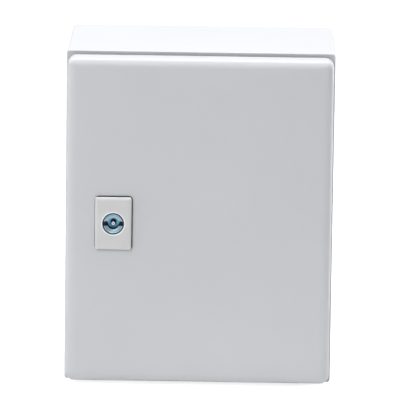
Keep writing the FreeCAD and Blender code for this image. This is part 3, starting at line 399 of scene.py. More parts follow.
def make_socket_metal(name, colour, metallic, roughness):
    """Inside of the lock, in two uses: plated metal coloured for the socket's floor and pin as painted
    light, and near black as painted shade in the deep gaps.
    """
    material, tree, shader, place = new_material(name, {"Metallic": metallic, "Roughness": roughness})
    clouded_colour(tree, shader, lumps(place, 1.2 * MM, 3.0), opaque(colour, 0.7), opaque(colour, 1.4))
    return material


def make_floor_paint(name, colour, glow):
    """Matt white floor that the camera sees as white, apart from the shadow on it."""
    material = bpy.data.materials.new(name)
    material.use_nodes = True
    tree = material.node_tree
    tree.nodes.clear()
    paint = add_node(tree, "ShaderNodeBsdfDiffuse", {"Color": opaque(colour)})
    level = add_node(tree, "ShaderNodeMath", {0: seen_directly(tree), 1: glow}, operation="MULTIPLY")
    shine = add_node(tree, "ShaderNodeEmission", {"Color": WHITE, "Strength": level.outputs[0]})
    both = add_node(tree, "ShaderNodeAddShader", {0: paint.outputs[0], 1: shine.outputs[0]})
    add_node(tree, "ShaderNodeOutputMaterial", {"Surface": both.outputs[0]})
    return material


def finish_material(key):
    """The material of a finish, made once."""
    colours = bpy.context.scene.enclosure_colours
    makers = {
        "body_coat": ("polyester powder coat, body", make_powder_coat, colours.coat),
        "door_coat": ("polyester powder coat, door", make_powder_coat, colours.coat),
        "lock_coat": ("coated zinc die-casting", make_lock_coat, colours.lock_plate),
        "zinc_steel": ("blue zinc plating", make_zinc_plate, colours.zinc),
        "galvanised_sheet": ("galvanised sheet", make_galvanised, colours.galvanised),
        "hinge_diecast": ("tumbled zinc die-casting", make_diecast, colours.diecast),
        "gasket_foam": ("foamed polyurethane", make_rubber, colours.foam, 1.5 * MM, 0.08 * MM, 0.75),
        "seal_rubber": ("moulded rubber", make_rubber, colours.rubber, 0.8 * MM, 0.02 * MM, 0.6),
        # Bare seat ring, and painted highlights on the insert.
        "seat_metal_and_highlight": ("bare metal of the turned seat", make_bare_ring, colours.seat),
        "insert_zinc": ("turned and plated die-casting", make_turned_metal, colours.insert),
        # The socket's floor and pin side in a colour of their own: painted light.
        "key_socket": ("plated key socket", make_socket_metal, colours.insert_dark, 1.0, 0.4),
        # Near black on the lock's gaps and deep strips: painted shade.
        "lock_shadow": ("grease in the lock's gaps", make_socket_metal, colours.insert_gap_shade, 0.3, 0.6),
        "floor": ("matt white floor", make_floor_paint, colours.floor, 0.8),
    }
    name, maker, *values = makers[key]
    return bpy.data.materials.get(name) or maker(name, *values)


# Meshes

def rounded_loop(half_x, half_z, corner, forward, centre=(0.0, 0.0), along=1, around=6):
    """Points of a rounded rectangle that faces the front, at a distance from the wall."""
    arcs = []
    for quarter, (side, end) in enumerate(((1, 1), (-1, 1), (-1, -1), (1, -1))):
        x = side * (half_x - corner)
        z = end * (half_z - corner)
        angles = [math.pi / 2 * (quarter + step / around) for step in range(around + 1)]
        arcs.append([(x + corner * math.cos(a), z + corner * math.sin(a)) for a in angles])
    points = []
    for arc, following in zip(arcs, arcs[1:] + arcs[:1]):
        points += arc
        (x0, z0), (x1, z1) = arc[-1], following[0]
        points += [(x0 + (x1 - x0) * k / along, z0 + (z1 - z0) * k / along) for k in range(1, along)]
    return [Vector((centre[0] + x, -forward, centre[1] + z)) for x, z in points]


def round_loop(like, radius, forward, centre):
    """A circle with its points in the same directions as those of another loop."""
    angles = [math.atan2(point.z - centre[1], point.x - centre[0]) for point in like]
    return [Vector((centre[0] + radius * math.cos(a), -forward, centre[1] + radius * math.sin(a)))
            for a in angles]


def turned_ring(radius, height, steps=48):
    """A circle about Z."""
    angles = [2 * math.pi * k / steps for k in range(steps)]
    return [Vector((radius * math.cos(a), radius * math.sin(a), height)) for a in angles]


def hexagon_ring(half_flats, height, cone=None, steps=48):
    """A hexagon about Z with as many points as a circle; a cone (radius, way) tilts its edge."""
    ring = []
    for k in range(steps):
        angle = 2 * math.pi * k / steps
        reach = half_flats / math.cos((angle + math.pi / 6) % (math.pi / 3) - math.pi / 6)
        drop = (reach - cone[0]) * math.tan(math.pi / 6) * cone[1] if cone else 0.0
        ring.append(Vector((reach * math.cos(angle), reach * math.sin(angle), height - drop)))
    return ring


def loft(bm, loops, closed=False, caps=False, marks=None):
    """Skin loops of equally many points; closed joins the last to the first.

    Marks give single strips between two loops another of the piece's materials.
    """
    rows = [[bm.verts.new(point) for point in loop] for loop in loops]
    following = rows[1:] + rows[:1] if closed else rows[1:]
    for index, (one, other) in enumerate(zip(rows, following)):
        for k in range(len(one)):
            face = bm.faces.new((one[k - 1], one[k], other[k], other[k - 1]))
            face.material_index = (marks or {}).get(index, 0)
    if caps:
        bm.faces.new(rows[0])
        bm.faces.new(rows[-1])
    return rows


def arc_points(centre, radius, start, end, steps=6):
    """Points of an arc between two angles in degrees."""
    angles = [math.radians(start + (end - start) * k / steps) for k in range(steps + 1)]
    return [(centre[0] + radius * math.cos(a), centre[1] + radius * math.sin(a)) for a in angles]


def add_block(bm, low, high):
    """A plain block between two corners."""
    size = Vector(high) - Vector(low)
    middle = (Vector(high) + Vector(low)) / 2
    shift = Matrix.Translation(middle) @ Matrix.Diagonal((*size, 1.0))
    bmesh.ops.create_cube(bm, size=1.0, matrix=shift)


def add_cylinder(bm, radius, centre, reach, turn=None, steps=48):
    """A plain cylinder about a point, along Z or turned."""
    place = Matrix.Translation(centre) @ (turn or Matrix.Identity(4))
    bmesh.ops.create_cone(bm, cap_ends=True, segments=steps, radius1=radius, radius2=radius,
                          depth=reach, matrix=place)


def to_object(bm, name, materials=()):
    """Turn a bmesh into an object of the scene, with its faces pointing outwards."""
    bmesh.ops.recalc_face_normals(bm, faces=bm.faces)
    mesh = bpy.data.meshes.new(name)
    bm.to_mesh(mesh)
    bm.free()
    piece = bpy.data.objects.new(name, mesh)
    for material in materials:
        mesh.materials.append(material)
    bpy.context.scene.collection.objects.link(piece)
    return piece


def bake_modifiers(piece):
    """Replace a piece's mesh by what its modifiers make of it."""
    evaluated = piece.evaluated_get(bpy.context.evaluated_depsgraph_get())
    mesh = bpy.data.meshes.new_from_object(evaluated)
    mesh.name = piece.name
    piece.modifiers.clear()
    piece.data = mesh


def cut_away(piece, cutter_bm, dark=False):
    """Cut a bmesh out of a piece; a dark cut takes the piece's second material, on the insert its near-black
    painted shade.
    """
    for face in cutter_bm.faces:
        face.material_index = int(dark)
    cutter = to_object(cutter_bm, piece.name + ".cutter", piece.data.materials)
    modifier = piece.modifiers.new("cut", "BOOLEAN")
    modifier.operation = "DIFFERENCE"
    modifier.solver = "EXACT"
    modifier.object = cutter
    bake_modifiers(piece)
    bpy.data.objects.remove(cutter)


def smooth_off(piece, bevel=0.0, angle=32.0):
    """Shade a piece smooth between its sharp edges, after easing those edges by a bevel."""
    mesh = piece.data
    mesh.shade_smooth()
    mesh.set_sharp_from_angle(angle=math.radians(angle))
    if bevel:
        modifier = piece.modifiers.new("ease", "BEVEL")
        modifier.width = bevel
        modifier.segments = 2
        modifier.limit_method = "ANGLE"
        modifier.angle_limit = math.radians(angle)
        modifier.use_clamp_overlap = True
    weigh = piece.modifiers.new("normals", "WEIGHTED_NORMAL")
    weigh.keep_sharp = not bevel
    bake_modifiers(piece)


def give(piece, body, slot, *nodes):
    """Hang a finished piece on its body and hide the nodes that it stands for; the slot is not used."""
    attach(piece, body)
    if nodes:
        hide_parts(*nodes)
    return piece


def refine_node(node, body, slot, bevel):
    """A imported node's own shape with its triangles merged and its edges eased."""
    bm = bmesh.new()
    bm.from_mesh(frame["nodes"][node].data)
    bmesh.ops.remove_doubles(bm, verts=bm.verts, dist=0.002 * MM)
    bmesh.ops.dissolve_limit(bm, angle_limit=math.radians(0.8), verts=bm.verts, edges=bm.edges)
    piece = to_object(bm, node + "_finished", [finish_material(slot)])
    for polygon in piece.data.polygons:
        polygon.material_index = 0
    smooth_off(piece, bevel)
    return give(piece, body, slot, node)


def crowned_edge(bend, crown=0.0, slope=0.0, gauge=0.0):
    """From a side round a bend and over a shallow crown to a flat face.

    Gives insets from the side and depths below the face; a gauge gives the sheet's inner skin.
    """
    steps = 8
    radius = max(bend - gauge, 0.2 * MM)
    middle = math.tan(slope) * crown / 3 + bend * math.cos(slope)
    arc = arc_points((bend, -middle), radius, 180, 90 + math.degrees(slope), steps)
    path = [(x, -y) for x, y in arc]
    start, fall = path[-1][0], path[-1][1] - gauge
    if crown:
        path += [(start + crown * k / steps, gauge + fall * (1 - k / steps) ** 3)
                 for k in range(1, steps + 1)]
    return path


def inset_loops(half_x, half_z, corner, bend, path, centre=(0.0, 0.0), along=1):
    """One rounded loop for each inset and height; inside the bend the corners stay rounded."""
    return [rounded_loop(half_x - inset, half_z - inset,
                         max(corner - inset, 0.3 * MM) + max(inset - bend, 0.0),
                         forward, centre, along, 8) for inset, forward in path]


def folded_pan(bm, half_x, half_z, corner, bend, gauge, face, rim, raw, crown=0.0, slope=0.0):
    """A sheet folded on all four sides, from its face back to its rim.

    Where the press leaves the face crowned, it falls away over a crown's width before the fold.
    """
    way = 1 if face > rim else -1
    skins = [[(inset, face - way * depth) for inset, depth in crowned_edge(bend, crown, slope, skin)]
             for skin in (gauge, 0.0)]
    cut = [(gauge, rim + way * raw), (gauge - raw, rim), (raw, rim), (0.0, rim + way * raw)]
    loft(bm, inset_loops(half_x, half_z, corner, bend, skins[0][::-1] + cut + skins[1]), caps=True)


# Fasteners, each built standing on Z with its foot at the origin

def nut_mesh(half_flats, bore, height):
    """A hexagon nut with both faces turned to a cone and its bore countersunk."""
    bm = bmesh.new()
    crown = half_flats * 0.97
    sink = 0.3 * MM
    loft(bm, [
        turned_ring(crown, 0.0), hexagon_ring(half_flats, 0.0, (crown, -1)),
        hexagon_ring(half_flats, height, (crown, 1)), turned_ring(crown, height),
        turned_ring(bore + sink, height), turned_ring(bore, height - sink),
        turned_ring(bore, sink), turned_ring(bore + sink, 0.0),
    ], closed=True)
    return bm


def ring_mesh(outer, bore, height, ease=0.2 * MM):
    """A washer or sleeve with eased edges."""
    bm = bmesh.new()
    loft(bm, [
        turned_ring(outer - ease, 0.0), turned_ring(outer, ease), turned_ring(outer, height - ease),
        turned_ring(outer - ease, height), turned_ring(bore + ease, height),
        turned_ring(bore, height - ease), turned_ring(bore, ease), turned_ring(bore + ease, 0.0),
    ], closed=True)
    return bm


def stud_mesh(radius, pitch, height, thread_from=0.0, steps=24):
    """A bar with a wound thread from a height up to its chamfered end."""
    bm = bmesh.new()
    depth = 0.6 * pitch
    chamfer = 0.8 * MM
    loops = [turned_ring(radius, 0.0, steps)]
    if thread_from:
        loops.append(turned_ring(radius, thread_from, steps))
    rows = int((height - thread_from) / (pitch / 6))
    for row in range(1, rows + 1):
        level = thread_from + (height - thread_from) * row / rows
        ring = []
        for k in range(steps):
            phase = (level / pitch - k / steps) % 1.0
            ridge = min(max(abs(phase * 2 - 1) * 1.5 - 0.3, 0.0), 1.0)
            limit = radius - max(level - (height - chamfer), 0.0)
            reach = min(radius - depth * ridge, limit)
            angle = 2 * math.pi * k / steps
            ring.append(Vector((reach * math.cos(angle), reach * math.sin(angle), level)))
        loops.append(ring)
    loft(bm, loops, caps=True)
    return bm


def screw_mesh(radius, shank, head_radius, head_height, key_flats):
    """A screw with a domed head and a hexagon socket, its head standing above the origin."""
    bm = bmesh.new()
    key = key_flats / 2
    ease = 0.15 * MM
    loft(bm, [
        turned_ring(radius, -shank), turned_ring(radius, 0.0), turned_ring(head_radius - 0.1 * MM, 0.0),
        turned_ring(head_radius, 0.2 * MM), turned_ring(head_radius, head_height * 0.45),
        turned_ring(head_radius * 0.93, head_height * 0.75), turned_ring(head_radius * 0.74, head_height),
        hexagon_ring(key + ease, head_height), hexagon_ring(key, head_height - ease),
        hexagon_ring(key, head_height * 0.4), turned_ring(key * 0.5, head_height * 0.25),
    ], caps=True)
    return bm


def grid_tree():
    """Geometry nodes: two crossed rows of one piece, turned, placed and given a material."""
    tree = bpy.data.node_groups.get("rows of one piece")
    if tree:
        return tree
    tree = bpy.data.node_groups.new("rows of one piece", "GeometryNodeTree")
    sockets = (
        ("Piece", "NodeSocketObject"), ("First row", "NodeSocketInt"), ("First step", "NodeSocketVector"),
        ("Second row", "NodeSocketInt"), ("Second step", "NodeSocketVector"),
        ("Turn", "NodeSocketRotation"), ("Place", "NodeSocketVector"), ("Seed", "NodeSocketInt"),
        ("Finish", "NodeSocketMaterial"),
    )
    for name, kind in sockets:
        tree.interface.new_socket(name, in_out="INPUT", socket_type=kind)
    tree.interface.new_socket("Geometry", in_out="OUTPUT", socket_type="NodeSocketGeometry")
    given = add_node(tree, "NodeGroupInput").outputs
    lines = []
    for row, step in (("First row", "First step"), ("Second row", "Second step")):
        gaps = add_node(tree, "ShaderNodeMath", {0: given[row], 1: 1.0}, operation="SUBTRACT")
        half = add_node(tree, "ShaderNodeMath", {0: gaps.outputs[0], 1: -0.5}, operation="MULTIPLY")
        start = add_node(tree, "ShaderNodeVectorMath", {0: given[step], "Scale": half.outputs[0]},
                         operation="SCALE")
        line = add_node(tree, "GeometryNodeMeshLine", {
            "Count": given[row], "Start Location": start.outputs[0], "Offset": given[step]})
        lines.append(line.outputs[0])
    rows = add_node(tree, "GeometryNodeInstanceOnPoints", {"Points": lines[0], "Instance": lines[1]})
    points = add_node(tree, "GeometryNodeRealizeInstances", {"Geometry": rows.outputs[0]})
    piece = add_node(tree, "GeometryNodeObjectInfo", {"Object": given["Piece"]})
    # A nut or screw stops at any angle when it is tight.
    spin = add_node(tree, "FunctionNodeRandomValue", {2: 0.0, 3: 2 * math.pi, "Seed": given["Seed"]})
    angles = add_node(tree, "ShaderNodeCombineXYZ", {"Z": spin.outputs[1]})
    turned = add_node(tree, "FunctionNodeEulerToRotation", {"Euler": angles.outputs[0]})
    both = add_node(tree, "FunctionNodeRotateRotation", {
        "Rotation": given["Turn"], "Rotate By": turned.outputs[0]}, rotation_space="LOCAL")
    copies = add_node(tree, "GeometryNodeInstanceOnPoints", {
        "Points": points.outputs[0], "Instance": piece.outputs["Geometry"], "Rotation": both.outputs[0]})
    moved = add_node(tree, "GeometryNodeTransform", {
        "Geometry": copies.outputs[0], "Translation": given["Place"]})
    plain = add_node(tree, "GeometryNodeRealizeInstances", {"Geometry": moved.outputs[0]})
    coated = add_node(tree, "GeometryNodeSetMaterial", {
        "Geometry": plain.outputs[0], "Material": given["Finish"]})
    add_node(tree, "NodeGroupOutput", {"Geometry": coated.outputs[0]})
    return tree


def repeat_piece(name, bm, body, slot, place, turn=None, first=None, second=None, seed=1, nodes=()):
    """One fastener set out in rows round a place, as a plain mesh that rides on a body."""
    template = to_object(bm, name + ".template")
    template.data.shade_smooth()
    template.data.set_sharp_from_angle(angle=math.radians(28))
    piece = to_object(bmesh.new(), name)
    modifier = piece.modifiers.new("rows", "NODES")
    modifier.node_group = grid_tree()
    values = {
        "Piece": template, "First row": 2 if first else 1, "First step": first or (0.0, 0.0, 0.0),
        "Second row": 2 if second else 1, "Second step": second or (0.0, 0.0, 0.0),
        "Turn": (turn or Matrix.Identity(4)).to_euler(), "Place": place, "Seed": seed,
        "Finish": finish_material(slot),
    }
    for socket in modifier.node_group.interface.items_tree:
        if socket.in_out == "INPUT":
            modifier[socket.identifier] = values[socket.name]
    bake_modifiers(piece)
    bpy.data.objects.remove(template)
    return give(piece, body, slot, *nodes)


# Operators

class EnclosureOperator:
    """What the enclosure's operators share."""
    bl_options = {"REGISTER", "UNDO"}


class ENCLOSURE_OT_stage(EnclosureOperator, bpy.types.Operator):
    """Add the floor, the room light, the lamps and the camera"""
    bl_idname = "enclosure.stage"
    bl_label = "Stage"

    def execute(self, context):
        settings = context.scene.enclosure_stage
        bm = bmesh.new()
        bmesh.ops.create_grid(bm, x_segments=1, y_segments=1, size=9.0,
                              matrix=Matrix.Translation((0.0, 0.0, WRAP_LOW[2] - 0.1 * MM)))
        floor = to_object(bm, "floor", [finish_material("floor")])
        self.add_room_light(context, settings.room_light)
        for lamp in LAMPS:
            self.add_lamp(*lamp)
        self.add_camera(context, settings)
        context.scene.view_settings.view_transform = "Standard"
        return {"FINISHED"}

    def add_room_light(self, context, strength):
        """White all round for the camera and in reflections, and dimmer as a light."""
        world = bpy.data.worlds.new("white room")
        world.use_nodes = True
        tree = world.node_tree
        tree.nodes.clear()
        level = add_node(tree, "ShaderNodeMapRange", {"Value": seen_directly(tree), "To Min": strength})
        room = add_node(tree, "ShaderNodeBackground", {
            "Color": WHITE, "Strength": level.outputs["Result"]})
        add_node(tree, "ShaderNodeOutputWorld", {"Surface": room.outputs[0]})
        context.scene.world = world

    def add_lamp(self, name, place, target, size, power):
        """A softbox that faces a point."""
        lamp = bpy.data.lights.new(name, "AREA")
        lamp.shape = "RECTANGLE"
        lamp.size, lamp.size_y = size
        lamp.energy = power
        stand = bpy.data.objects.new(name, lamp)
        stand.location = place
        stand.rotation_euler = (Vector(target) - Vector(place)).to_track_quat("-Z", "Y").to_euler()
        bpy.context.scene.collection.objects.link(stand)

    def add_camera(self, context, settings):
        """A long lens at the photograph's place and angle."""
        yaw, pitch, roll = settings.yaw, settings.pitch, settings.roll
        ahead = Vector((-math.sin(yaw), math.cos(yaw), 0.0))
        forward = math.cos(pitch) * ahead - math.sin(pitch) * Vector((0.0, 0.0, 1.0))
        level = Vector((math.cos(yaw), math.sin(yaw), 0.0))
        upward = level.cross(forward)
        right = math.cos(roll) * level + math.sin(roll) * upward
        up = -math.sin(roll) * level + math.cos(roll) * upward
        camera = bpy.data.cameras.new("camera")
        camera.sensor_fit = "HORIZONTAL"
        camera.sensor_width = 36.0
        camera.lens = settings.lens
        camera.clip_start = 0.1
        camera.clip_end = 50.0
        stand = bpy.data.objects.new("camera", camera)
        turn = Matrix((right, up, -forward)).transposed()
        stand.matrix_world = Matrix.Translation(settings.place) @ turn.to_4x4()
        context.scene.collection.objects.link(stand)
        context.scene.camera = stand


class ENCLOSURE_OT_body(EnclosureOperator, bpy.types.Operator):
    """Add the folded body with its front channel and lip, and the rear tray"""
    bl_idname = "enclosure.body"
    bl_label = "Body and rear tray"

    def execute(self, context):
        self.make_wrap(context.scene.enclosure_sheet, context.scene.enclosure_gland,
                       context.scene.enclosure_fasteners)
        self.make_tray(context.scene.enclosure_sheet)
        return {"FINISHED"}

    def make_wrap(self, sheet, gland, fasteners):
        """Sides folded in at the front to a shoulder and a lip round the mouth."""
        gauge, outer, inner, edge = sheet.gauge, sheet.bend_outer, sheet.bend_inner, sheet.front_bend
        fold = max(edge - gauge, 0.1 * MM)
        shoulder, front, lip = sheet.shoulder, sheet.lip_front, sheet.lip_inset
        mouth = lip + sheet.lip_return
        raw = sheet.raw_edge
        # Each run: the inset and corner radius that its own corner follows, then its points
        runs = (
            ((0.0, sheet.wrap_corner), [(raw, 0.0), (0.0, raw)]
             + arc_points((edge, shoulder - edge), edge, 180, 90)),
            ((lip, sheet.lip_corner), arc_points((lip - inner, shoulder + inner), inner, -90, 0)
             + arc_points((lip + outer, front - outer), outer, 180, 90)),
            ((mouth, sheet.mouth_corner), [(mouth - raw, front), (mouth, front - raw),
                                           (mouth, front - gauge + raw), (mouth - raw, front - gauge)]),
            ((lip + gauge, sheet.lip_corner - gauge),
             arc_points((lip + gauge + inner, front - gauge - inner), inner, 90, 180)
             + arc_points((lip + gauge - outer, shoulder - gauge + outer), outer, 0, -90)),
            ((gauge, sheet.wrap_corner - gauge),
             arc_points((gauge + fold, shoulder - gauge - fold), fold, 90, 180)
             + [(gauge, raw), (gauge - raw, 0.0)]),
        )
        half_x, half_z = WRAP_HIGH[0], WRAP_HIGH[2]
        loops = []
        for (inset_there, corner), points in runs:
            for inset, forward in points:
                radius = max(corner + inset_there - inset, 0.2 * MM)
                loops.append(rounded_loop(half_x - inset, half_z - inset, radius, forward))
        bm = bmesh.new()
        loft(bm, loops, closed=True)
        piece = to_object(bm, "body_shell", [finish_material("body_coat")])
        cutter = bmesh.new()
        hole, through = M4_NUT[1], 6 * MM
        opening = rounded_loop(gland.opening_x / 2, (gland.opening_high - gland.opening_low) / 2,
                               gland.corner, 0.0)
        middle = -(gland.opening_high + gland.opening_low) / 2
        loft(cutter, [[Vector((p.x, middle + p.z, WRAP_LOW[2] + side * through)) for p in opening]
                      for side in SIDES], caps=True)
        for hinge in SIDES:
            for end in SIDES:
                z = hinge * fasteners.hinge_pitch + end * fasteners.hinge_screw_pitch
                add_cylinder(cutter, hole, (PIVOT_X - fasteners.hinge_screw_inward, -shoulder, z),
                             through, TO_FRONT, 24)
        cut_away(piece, cutter)
        smooth_off(piece)
        give(piece, "enclosure", "body_coat", "body_wrap")

    def make_tray(self, sheet):
        """A shallow tray in the back of the body, with four holes for the wall."""
        bm = bmesh.new()
        folded_pan(bm, TRAY_HIGH[0], TRAY_HIGH[2], sheet.tray_corner, sheet.tray_bend, sheet.gauge,
                   0.0, -TRAY_LOW[1], sheet.raw_edge)
        piece = to_object(bm, "rear_tray", [finish_material("body_coat")])
        cutter = bmesh.new()
        for side in SIDES:
            for end in SIDES:
                place = (side * sheet.wall_pitch_x, 0.0, end * sheet.wall_pitch_z)
                add_cylinder(cutter, sheet.wall_hole / 2, place, 8 * MM, TO_FRONT)
        cut_away(piece, cutter)
        smooth_off(piece)
        give(piece, "enclosure", "body_coat", "rear_panel")


class ENCLOSURE_OT_door(EnclosureOperator, bpy.types.Operator):
    """Add the folded door with its hinge notches and its foamed gasket"""
    bl_idname = "enclosure.door"
    bl_label = "Door and gasket"

    def execute(self, context):
        sheet = context.scene.enclosure_sheet
        lock = context.scene.enclosure_lock
        pitch = context.scene.enclosure_fasteners.hinge_pitch
        rim = -DOOR_HIGH[1]
        bm = bmesh.new()
        folded_pan(bm, DOOR_HIGH[0], DOOR_HIGH[2], sheet.door_corner, sheet.door_bend, sheet.gauge,
                   -DOOR_LOW[1], rim, sheet.raw_edge, sheet.door_crown, sheet.door_slope)
        piece = to_object(bm, "door_leaf", [finish_material("door_coat")])
        cutter = bmesh.new()
        inside, outside, behind = 90 * MM, 105 * MM, -rim + 5 * MM
        for side in SIDES:
            middle = side * pitch
            add_block(cutter, (inside, -rim - sheet.notch_depth, middle - sheet.notch_height / 2),
                      (outside, behind, middle + sheet.notch_height / 2))
        add_cylinder(cutter, lock.sleeve_radius + 0.15 * MM, (LOCK_X, LOCK_Y, LOCK_Z), 8 * MM, TO_FRONT)
        cut_away(piece, cutter)
        smooth_off(piece)
        give(piece, "door", "door_coat", "door_panel")
        self.make_gasket()
        return {"FINISHED"}

    def make_gasket(self):
        """A bead of foam laid in place: crowned, with the slight waves of its pouring."""
        width, corner = 8.0 * MM, 10.0 * MM
        ripple, ripple_length = 0.11 * MM, 9 * MM
        foot, top = -GASKET_LOW[1], -GASKET_HIGH[1]
        # Across the bead: shares of its width and of its height
        shape = ((0.03, 0.0), (0.0, 0.2), (0.01, 0.5), (0.06, 0.76), (0.17, 0.92), (0.33, 0.985),
                 (0.5, 1.0), (0.67, 0.985), (0.83, 0.92), (0.94, 0.76), (0.99, 0.5), (1.0, 0.2), (0.97, 0.0))
        loops = []
        for share, rise in shape:
            inset = share * width
            loop = rounded_loop(GASKET_HIGH[0] - inset, GASKET_HIGH[2] - inset,
                                max(corner - inset, 1.8 * MM), foot + (top - foot) * rise,
                                along=70, around=8)
            for point in loop:
                wave = noise.noise(Vector((point.x, 0.0, point.z)) / ripple_length) + 1
                point.y -= wave * ripple * rise
            loops.append(loop)
        bm = bmesh.new()
        loft(bm, loops, closed=True)
        piece = to_object(bm, "foamed_gasket", [finish_material("gasket_foam")])
        smooth_off(piece, angle=60)
        give(piece, "door", "gasket_foam", "door_gasket")


class ENCLOSURE_OT_lock(EnclosureOperator, bpy.types.Operator):
    """Add the lock's front plate, nut and seal, and the insert with its cam"""
    bl_idname = "enclosure.lock"
    bl_label = "Lock"

    def execute(self, context):
        lock = context.scene.enclosure_lock
        self.make_plate(lock)
        self.make_insert(lock)
        refine_node("lock_seal", "door", "seal_rubber", 0.0)
        nut = nut_mesh(11.0 * MM, lock.sleeve_radius + 0.05 * MM, 4.0 * MM)
        self.add_on_axis("lock_nut", nut, "door", LOCK_Y + context.scene.enclosure_sheet.gauge)
        refine_node("lock_cam", "lock", "zinc_steel", 0.3 * MM)
        washer_foot, washer_top = (corner[1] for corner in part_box("cam_washer"))
        washer = ring_mesh(6.5 * MM, M5_WASHER[1], 1.2 * MM)
        self.add_on_axis("cam_washer", washer, "lock", washer_foot)
        screw = screw_mesh(M5_THREAD[0], 3.4 * MM, 4.25 * MM, 3.5 * MM, 4.0 * MM)
        self.add_on_axis("cam_screw", screw, "lock", washer_top)
        skins = frame["nodes"]["lock_o_ring"].data.materials
        skins.clear()
        skins.append(finish_material("seal_rubber"))
        return {"FINISHED"}

    def add_on_axis(self, node, bm, body, foot):
        """A zinc-plated piece on the lock's axis, from its foot towards the wall."""
        repeat_piece(node + "_turned", bm, body, "zinc_steel", (LOCK_X, foot, LOCK_Z), TO_BACK,
                     nodes=(node,))

    def make_plate(self, lock):
        """A coated plate with a rounded edge, a round seat and the sleeve behind it."""
        centre = (LOCK_X, LOCK_Z)
        door = -LOCK_Y
        face, back = door + lock.plate_face, door + lock.plate_back
        edge, raw = lock.plate_round, 0.25 * MM
        path = [(raw, back), (0.0, back + raw)]
        path += [(inset, face - depth) for inset, depth in
                 crowned_edge(edge, lock.plate_crown, lock.plate_slope)]
        plate = inset_loops(lock.plate_width / 2, lock.plate_height / 2, lock.plate_corner, edge,
                            path, centre, 20)
        seat_radius, ring, proud = lock.seat_radius, lock.seat_ring, face + lock.seat_rise
        seat = door + lock.insert_face - lock.head_height
        inner = door - lock.sleeve_end
        sleeve, chamfer = lock.sleeve_radius, 0.4 * MM
        # Each ring: radius, distance from the wall, and the finish of the strip that follows it
        coat, bare, gap = range(3)
        # Gap strips of the seat's wall and floor and of the bore are near black: painted shade round the
        # insert's head.
        rings = (
            (seat_radius + ring, face, bare), (seat_radius + ring * 0.75, proud, bare),
            (seat_radius + ring * 0.35, proud, bare), (seat_radius, face - 0.05 * MM, gap),
            (seat_radius, seat, gap), (lock.bore_radius, seat, gap), (lock.bore_radius, inner, coat),
            (sleeve - chamfer, inner, coat), (sleeve, inner + chamfer, coat), (sleeve, back, coat),
        )
        turned = [round_loop(plate[0], radius, forward, centre) for radius, forward, _ in rings]
        marks = {len(plate) + strip: finish for strip, (*_, finish) in enumerate(rings)}
        bm = bmesh.new()
        loft(bm, plate + turned, closed=True, marks=marks)
        piece = to_object(bm, "lock_front_plate", [
            finish_material(key) for key in ("lock_coat", "seat_metal_and_highlight", "lock_shadow")])
        smooth_off(piece)
        give(piece, "door", "lock_coat", "lock_housing")

    def make_insert(self, lock):
        """The turned insert: dished head, key socket with its pin, two wings and the barrel."""
        face = lock.insert_face
        floor, tip = face - lock.socket_depth, face - 1.8 * MM
        head, socket, barrel = lock.head_radius, lock.socket_radius, lock.barrel_radius
        pin, root = lock.pin_radius, lock.pin_root
        # The head stands a hair off its seat, so that no two faces fall together
        under = face - lock.head_height + 0.05 * MM
        groove_start, groove, barrel_end = -6.1 * MM, 1.43 * MM, -9.1 * MM
        # Each ring: radius, height over the door's face, and the finish of the strip that follows
        zinc, gap, plated, bright = range(4)
        # Gap strips are near black as painted shade: the dimple in the pin's tip, the pin's root, the
        # socket's wall and the head's edge and side.
        profile = (
            # Bright strips are painted highlights in the seat's bare metal: the ring on the pin's tip and
            # the rim of the head.
            (pin * 0.05, tip - 0.8 * MM, gap), (pin * 0.36, tip, bright), (pin * 0.8, tip, plated),
            # Plated strips, on the pin's side and the socket's floor, take the socket's own colour: painted
            # light.
            (pin, tip - 0.3 * MM, plated), (pin, floor + 2.8 * MM, gap),
            (root, floor + 2.4 * MM, gap), (root, floor, plated), (socket, floor, gap),
            (socket, face - 1.3 * MM, zinc), (socket + 0.2 * MM, face - 1.1 * MM, zinc),
            (head - 1.3 * MM, face - 0.62 * MM, zinc), (head - 0.9 * MM, face - 0.1 * MM, bright),
            (head - 0.8 * MM, face, zinc), (head - 0.25 * MM, face, gap),
            (head, face - 0.25 * MM, gap), (head, under, zinc), (barrel, under, zinc),
            (barrel, groove_start, zinc), (barrel - groove, groove_start, zinc),
            (barrel - groove, groove_start - groove, zinc), (barrel, groove_start - groove, zinc),
            (barrel, barrel_end, zinc),
        )
        bm = bmesh.new()
        loft(bm, [turned_ring(radius, height, 72) for radius, height, _ in profile], caps=True,
             marks={strip: finish for strip, (*_, finish) in enumerate(profile)})
        bm.transform(Matrix.Translation((LOCK_X, LOCK_Y, LOCK_Z)) @ TO_FRONT)
        piece = to_object(bm, "double_bit_insert", [
            finish_material(key) for key in ("insert_zinc", "lock_shadow", "key_socket", "seat_metal_and_highlight")])
        # The wings: a shallow slot out through the rim, then a deep one beside the pin; their cut faces take
        # the near-black painted shade
        half, inward = lock.wing_width / 2, 3.0 * MM
        wings = ((head + 1 * MM, 3.2 * MM), (5.3 * MM, lock.socket_depth - 0.1 * MM))
        for reach, depth in wings:
            cutter = bmesh.new()
            for side in (-1, 1):
                near, far = sorted((side * inward, side * reach))
                add_block(cutter, (LOCK_X + near, LOCK_Y - face - 2 * MM, LOCK_Z - half),
                          (LOCK_X + far, LOCK_Y - face + depth, LOCK_Z + half))
            cut_away(piece, cutter, dark=True)
        smooth_off(piece)
        give(piece, "lock", "insert_zinc", "lock_insert")


